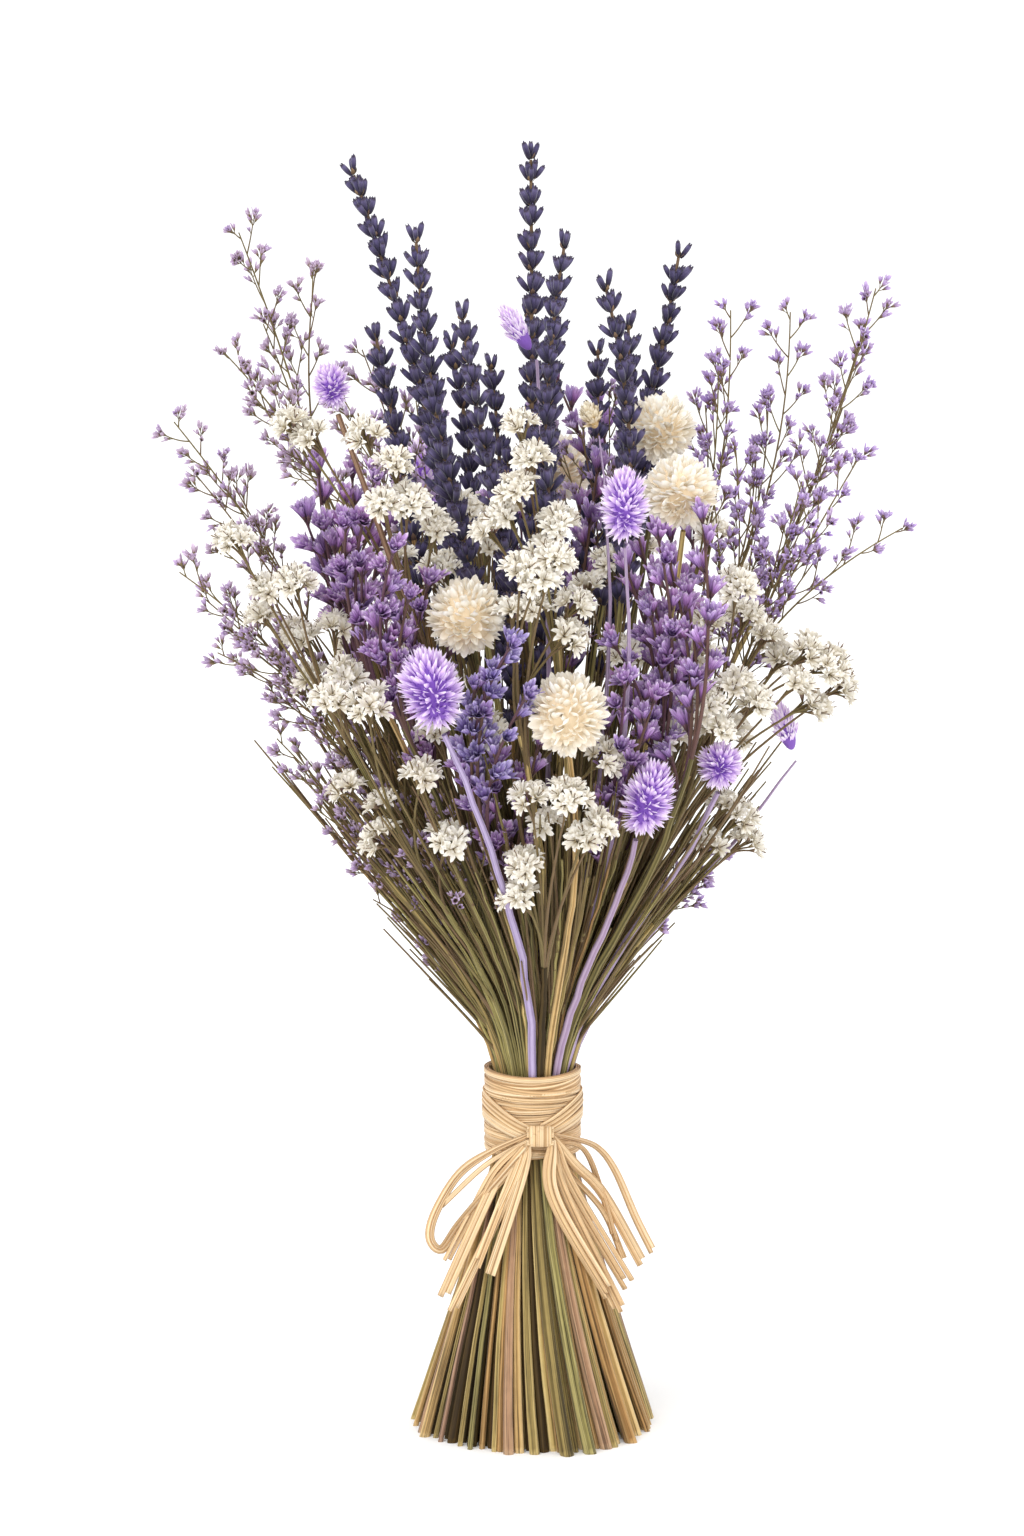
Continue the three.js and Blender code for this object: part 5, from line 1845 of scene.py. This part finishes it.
@dataclass
class Raffia:
    """The raffia tie: wound turns, a band drawn down to the knot, and the bow's strands."""

    habit: Habit
    low: float = 96.8
    high: float = 125.2
    turns: int = 62
    knot: tuple[float, float] = (2.6, 105.0)
    leaf_width: float = 1.4  # about how wide the leaves are that make up a strand
    leaf_thick: float = 0.22
    drape: float = 3.4  # how far the bow hangs before the stems, and before the wrap
    drape_at_wrap: float = 6.4
    wrap_foot: float = 92
    girth: float = 14.6
    broad_turns: int = 9  # the innermost ones, which cover the stems
    broad_width: float = 4.4
    widths: Place = (0.9, 2.4)
    dip: float = 0.8  # how much lower the turns are in front
    band_strips: int = 8
    band_low: float = 108.6  # the height of the band's lowest strip at the sides
    band_step: float = 1.15
    band_stand: float = 1.9
    band_lift: float = 0.9  # how much further it stands out at the knot
    band_widths: Place = (2.2, 3.2)
    knot_stand: float = 5.0
    knot_half: Place = (1.9, 3.6)  # half the knot's depth and height
    upright_loops: int = 6
    loop_width: float = 1.7
    across_runs: int = 5
    run_width: float = 2.2
    run_half: tuple[float, float, float] = (4.6, 1.3, 2.6)
    ridges: ClassVar[int] = 7  # points across a ribbon
    # Front-view ways of the strands, each with its width and its twist at the knot and at the end.
    left: ClassVar[tuple[Strand, ...]] = (
        Strand(((-14, 99), (-25, 89), (-33, 76), (-35, 67),
                (-31, 63), (-25, 71), (-17, 82), (-2, 101)), 3.4, 1.2, 0.2),
        Strand(((-12, 90), (-31.5, 45)), 3.4, 0.25, 0.25),
        Strand(((-8, 86), (-27.5, 44)), 2.8, 0.4, 0.1),
        Strand(((-13, 93), (-22, 74), (-30, 58)), 2.2, 0.7, 0.5),
        Strand(((-16, 94), (-31, 78)), 1.5, 0.3, 0.6),
        Strand(((-4, 90), (-15, 57)), 3.0, 0.1, 0.3),
        Strand(((-7, 91), (-19, 60)), 2.4, 0.6, 0.2),
    )
    right: ClassVar[tuple[Strand, ...]] = (
        Strand(((14, 103), (22, 98), (28, 90), (35, 74), (41, 62)), 2.6, 1.0, 0.3),
        Strand(((14, 95), (24, 82), (37.5, 58)), 3.4, 0.5, 0.1),
        Strand(((12, 88), (33, 50)), 4.3, 0.2, 0.2),
        Strand(((10, 86), (30, 43)), 3.8, 0.35, 0.1),
        Strand(((7, 84), (26, 49)), 4.2, 0.1, 0.3),
        Strand(((12, 92), (24, 76), (31, 60)), 2.2, 0.8, 0.4),
        Strand(((17, 99), (23, 84), (28, 66)), 2.4, 0.9, 0.7),
    )

    def ribbon(self, skin: Skin, points: np.ndarray, across: np.ndarray, width: Any, tone: float,
               thick: float = 0.3) -> None:
        """Adds a flat strip with fine lengthwise ridges.

        Args:
            skin: The piece it belongs to.
            points: Its middle line.
            across: The direction across it at each point.
            width: Its width, or one for each point.
            tone: Its tone.
            thick: Its thickness.
        """
        rng = skin.rng
        ahead = unit(np.gradient(points, axis=0))
        across = unit(across - ahead * (across * ahead).sum(axis=1, keepdims=True))
        out = np.cross(ahead, across)
        t = np.linspace(-1, 1, self.ridges)
        ridge = rng.uniform(0, 0.8, self.ridges) * thick
        ridge[[0, -1]] = 0
        curl = rng.normal(0.15, 0.12) * t**2
        around = np.concatenate([t, t[::-1]])
        lift = np.concatenate([thick / 2 + ridge + curl, (ridge * 0.6 - thick / 2 + curl)[::-1]])
        half = np.broadcast_to(np.asarray(width, float) / 2, (len(points),))[:, None, None]
        ring = across[:, None] * around[None, :, None] * half + out[:, None] * lift[None, :, None]
        rows = points[:, None] + ring
        first, last = points[:1, None] + ring[:1] * 0.02, points[-1:, None] + ring[-1:] * 0.02
        rows = np.concatenate([first, rows, last])
        # Darker at the strip's edges and in the low places between its ridges: painted shade where strips
        # meet and in their grooves.
        reach = np.concatenate([ridge, ridge[::-1]]) / thick * 0.95 + 0.05
        form = Form.grid(rows, np.repeat(np.clip(reach, 0, 1)[None], len(rows), axis=0), RAFFIA, True)
        run = np.concatenate([[0], np.cumsum(np.linalg.norm(np.diff(points, axis=0), axis=1))])
        run = np.concatenate([run[:1], run, run[-1:]])
        girth = around * float(np.max(width)) / 2
        form.grain = np.stack([np.tile(girth, len(rows)), np.repeat(run, len(around))], axis=1)
        skin.add(form, tone)

    def round_the_stems(self, skin: Skin, height: Any, stand: Any, width: float, start: float,
                        length: float) -> None:
        """Adds one turn round the stems.

        Args:
            skin: The piece it belongs to.
            height: A function of the turn's angle that gives its height.
            stand: A function of the angle that gives how far it stands off the stems.
            width: Its width.
            start: The angle where it starts.
            length: How far it goes round, in radians.
        """
        angle = np.linspace(start, start + length, 90)
        z = height(angle)
        edge = np.array([self.skin_at(float(h)) for h in z]) + stand(angle)
        points = np.stack([edge * np.cos(angle), edge * np.sin(angle), z], axis=1)
        up = np.repeat([[0.0, 0.0, 1.0]], len(angle), axis=0)
        self.ribbon(skin, points, up, width, float(skin.rng.uniform(0, 1)))

    def skin_at(self, z: float) -> float:
        """Gives how far out the innermost turns lie: nearly upright, however the stems bend."""
        return max(self.habit.edge(z), self.girth)

    def wrap(self) -> bpy.types.Object:
        """Builds the wound turns and the band drawn down to the knot.

        Returns:
            The finished piece.
        """
        skin = Skin("raffia_turns", 5)
        rng = skin.rng
        room = self.high - self.low
        for i in range(self.turns):
            broad = i < self.broad_turns
            width = self.broad_width if broad else rng.uniform(*self.widths)
            middle = self.low + room * (i / (self.broad_turns - 1) if broad else (i * GOLDEN_SHARE) % 1)
            middle = min(max(middle, self.low + width / 2), self.high - width / 2)
            sway, phase = rng.uniform(0, 0.5), rng.uniform(*ANY_TURN)
            tilt = 0.2 if broad else rng.uniform(0.2, 1.5)
            layer = 0.35 if broad else 0.6 + 1.1 * i / self.turns
            low, high = self.low + width / 2, self.high - width / 2

            def height(angle: np.ndarray) -> np.ndarray:
                """Gives this turn's height round the tie, a little lower in front."""
                swung = middle + sway * np.sin(2 * angle + phase) + tilt * np.sin(angle + phase)
                return np.clip(swung, low, high) - self.dip * np.clip(-np.sin(angle), 0, 1) ** 2

            self.round_the_stems(skin, height, lambda a: layer + 0 * a, width, phase, FULL_TURN + 0.3)
        for i in range(self.band_strips):
            high = self.band_low + self.band_step * i
            at_knot = self.knot[1] + 0.5 * (i - (self.band_strips - 1) / 2)
            stand = self.band_stand + 0.25 * (i % 3)

            def drawn(angle: np.ndarray) -> np.ndarray:
                """Gives the band's height, drawn down to the knot in front."""
                aside = np.where(np.sin(angle) < 0, np.abs(np.cos(angle)), 1)
                return at_knot + (high - at_knot) * aside**1.25

            def standing(angle: np.ndarray) -> np.ndarray:
                """Gives how far the band stands out, most where its strips meet at the knot."""
                return stand + self.band_lift * np.clip(-np.sin(angle), 0, 1) ** 6

            width = rng.uniform(*self.band_widths)
            self.round_the_stems(skin, drawn, standing, width, 0.16 - math.pi / 2, FULL_TURN - 0.1)
        return settle(skin, self.habit.axis, "raffia_wrap")

    def knot_middle(self) -> np.ndarray:
        """Gives the knot's middle, just clear of the band."""
        front = self.skin_at(self.knot[1]) + self.knot_stand
        return np.array([self.knot[0], -front, self.knot[1]])

    def tie_knot(self) -> bpy.types.Object:
        """Builds the knot: strands wound upright round a bundle that runs across.

        Returns:
            The finished piece.
        """
        skin = Skin("raffia_knot_strands", 9)
        middle = self.knot_middle()
        for i in range(self.upright_loops):
            x = -3.0 + 1.2 * i
            angle = np.linspace(0.3 * i, FULL_TURN + 0.3 * i, 30)
            deep, high = self.knot_half
            loop = np.stack([0 * angle + x, -deep * np.cos(angle), high * np.sin(angle)], axis=1) + middle
            across = np.repeat([[1.0, 0, 0]], len(angle), axis=0)
            self.ribbon(skin, loop, across, self.loop_width, 0.2 + 0.1 * i)
        for i in range(self.across_runs):
            angle = i * FULL_TURN / self.across_runs
            wide, deep, high = self.run_half
            x = np.linspace(-wide, wide, 12)
            pinch = 0.55 + 0.09 * np.abs(x)
            y = deep * math.sin(angle) * pinch
            z = high * math.cos(angle) * pinch
            run = np.stack([x, y, z], axis=1) + middle
            across = np.repeat([[0, 0.4, 1.0]], len(x), axis=0)
            self.ribbon(skin, run, across, self.run_width, 0.1 * i)
        return settle(skin, self.habit.axis, "raffia_knot")

    def draped(self, front: Place) -> np.ndarray:
        """Gives the point just in front of the stems or the wrap at a front-view place.

        Args:
            front: Its x and z.

        Returns:
            The point.
        """
        x, z = front
        edge = self.habit.edge(z) + (self.drape_at_wrap if z > self.wrap_foot else self.drape)
        return np.array([x, -math.sqrt(max(edge**2 - x**2, (0.3 * edge) ** 2)), z])

    def hang(self, skin: Skin, start: np.ndarray, strand: Strand) -> None:
        """Adds one strand of the bow, from beside the knot along its way.

        Args:
            skin: The piece it belongs to.
            start: Where it leaves the knot.
            strand: The strand.
        """
        points = np.vstack([start, [self.draped(place) for place in strand.way]])
        run = smooth(points, 48)
        ahead = unit(np.gradient(run, axis=0))
        flat = unit(np.stack([ahead[:, 2], 0 * ahead[:, 0], -ahead[:, 0]], axis=1))
        twist = np.linspace(strand.twist, strand.end_twist, len(run))[:, None]
        across = flat * np.cos(twist) + np.array([0, 1.0, 0]) * np.sin(twist)
        share = np.minimum(1, 0.55 + np.linspace(0, 2.2, len(run)))
        leaves = max(1, round(strand.width / self.leaf_width))
        for leaf in range(leaves):
            aside = (leaf - (leaves - 1) / 2) * strand.width / leaves
            fan = share * np.linspace(1, 1 + skin.rng.uniform(0, 0.5), len(run))
            middle = run + across * (aside * fan)[:, None] - [0, 0.22 * (leaf % 2), 0]
            end = len(run) - int(skin.rng.integers(0, 3))
            width = 1.25 * strand.width / leaves * share
            tone = float(skin.rng.uniform(0, 1))
            self.ribbon(skin, middle[:end], across[:end], width[:end], tone, self.leaf_thick)

    def bow(self, side: int) -> bpy.types.Object:
        """Builds the strands on one side of the knot: -1 is the left and 1 the right.

        Args:
            side: -1 for the left and 1 for the right.

        Returns:
            The finished piece.
        """
        name = "raffia_bow_left" if side < 0 else "raffia_bow_right"
        skin = Skin(f"{name}_strands", 21 + side)
        start = self.knot_middle() + [side * 4.0, 0, -0.4]
        for i, strand in enumerate(self.left if side < 0 else self.right):
            self.hang(skin, start + [0, 0.35 * (i % 4) - 0.5, 1.2 - 0.45 * i], strand)
        return settle(skin, self.habit.axis, name)

    def build(self) -> None:
        """Builds the whole tie."""
        self.wrap()
        self.tie_knot()
        self.bow(-1)
        self.bow(1)


# ---------------- studio
@dataclass
class Studio:
    """The pale floor, the soft lights and the camera."""

    elevation: float = 9.5
    distance: float = 2.2
    view_height: float = 0.519
    aim: tuple[float, float, float] = (-0.007, 0.0, 0.228)
    floor_tone: Colour = (254, 254, 254)
    floor_reach: float = 20.0
    floor_rough: float = 0.9
    floor_gloss: float = 0.1
    daylight: float = 0.86
    film_width: ClassVar[float] = 36
    lit_height: ClassVar[float] = 0.2  # where the lamps point
    lamp_size: ClassVar[float] = 1.2
    lamp_power: ClassVar[float] = 8
    sun_angle: ClassVar[float] = 60  # how broad the even light is, in degrees

    def floor(self) -> None:
        """Lays the floor, wide enough to fill the view."""
        bench = Bench("studio_floor")
        bench.feed(bench.surface.inputs["Base Color"], linear(self.floor_tone))
        bench.feed(bench.surface.inputs["Roughness"], self.floor_rough)
        bench.feed(bench.surface.inputs["Specular IOR Level"], self.floor_gloss)
        low, high = -self.floor_reach, self.floor_reach
        mesh = bpy.data.meshes.new("studio_floor")
        mesh.from_pydata([(low, low, 0), (high, low, 0), (high, high, 0), (low, high, 0)], [], [range(4)])
        mesh.materials.append(bench.material)
        placed("studio_floor", mesh)

    def light(self, name: str, kind: str, place: tuple[float, float, float], power: float,
              aim_height: float) -> bpy.types.Light:
        """Hangs a light that faces the bunch.

        Args:
            name: The light's name.
            kind: Its type: a sun's even light also falls on the floor far behind.
            place: Where it hangs, in metres.
            power: Its power, in watts, or a sun's strength.
            aim_height: The height of the point that it faces.

        Returns:
            The light, whose breadth is still to be set.
        """
        light = bpy.data.lights.new(name, kind)
        light.energy = power
        lamp = placed(name, light)
        lamp.location = place
        facing = Vector((0, 0, aim_height)) - lamp.location
        lamp.rotation_euler = facing.to_track_quat("-Z", "Y").to_euler()
        return light

    def camera(self) -> None:
        """Sets the camera at the photograph's angle."""
        lens = bpy.data.cameras.new("camera")
        lens.sensor_width = self.film_width
        lens.lens = self.film_width * self.distance / self.view_height
        camera = placed("camera", lens)
        angle = math.radians(self.elevation)
        aim = Vector(self.aim)
        camera.location = aim + self.distance * Vector((0, -math.cos(angle), math.sin(angle)))
        camera.rotation_euler = (aim - camera.location).to_track_quat("-Z", "Y").to_euler()
        bpy.context.scene.camera = camera

    def build(self) -> None:
        """Sets up the whole studio."""
        world = bpy.data.worlds.new("studio")
        bpy.context.scene.world = world
        world.use_nodes = True
        sky = world.node_tree.nodes["Background"]
        sky.inputs["Color"].default_value = (1, 1, 1, 1)
        sky.inputs["Strength"].default_value = self.daylight
        self.floor()
        self.light("key", "SUN", (-0.9, -1.7, 1.9), 1.6, 0).angle = math.radians(self.sun_angle)
        for name, place in (("fill", (1.7, -1.3, 0.8)), ("rim", (0.4, 1.6, 1.6))):
            self.light(name, "AREA", place, self.lamp_power, self.lit_height).size = self.lamp_size
        self.camera()
        bpy.context.scene.view_settings.view_transform = "Standard"


def main() -> None:
    """Builds the studio and the bunch: the frame's flowers, those between them, bare stems and the tie."""
    logging.basicConfig(level=logging.INFO, format="%(message)s")
    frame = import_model()
    lowest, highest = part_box("raffia_wrap")
    axis = np.array([(lowest.x + highest.x) / 2, (lowest.y + highest.y) / 2, 0.0]) / MM
    habit = Habit(axis=axis)
    aside, _, aim_height = Studio.aim
    Studio(aim=(axis[0] * MM + aside, axis[1] * MM, aim_height)).build()
    kinds = (
        (LavenderSpike, LAVENDER),
        (GlobeHead, GLOBES),
        (GrassEar, GRASSES),
        (VioletStatice, VIOLETS),
        (WhiteStatice, WHITES),
        (SeaLavender, SEA_LAVENDERS),
    )
    flowers = []
    for maker, spots in kinds:
        for i, spot in enumerate(spots, start=1):
            name = f"{maker.kind.value}_{i:02d}"
            flowers.append(maker(habit, spot, name, i, frame["nodes"][name]))
    habit.slots = [flower.slot for flower in flowers]
    inner = (
        (LavenderSpike, INNER_LAVENDERS),
        (VioletStatice, INNER_VIOLETS),
        (WhiteStatice, INNER_WHITES),
        (SeaLavender, INNER_SEA_LAVENDERS),
    )
    for maker, spots in inner:
        for i, spot in enumerate(spots, start=1):
            name = f"inner_{maker.kind.value}_{i:02d}"
            flowers.append(maker(habit, spot, name, INNER_FROM + i, None, INNER_GIRTH))
    for flower in flowers:
        flower.build()
    BareStems(habit).build()
    Raffia(habit).build()
    bpy.context.view_layer.update()


if __name__ == "__main__":
    main()
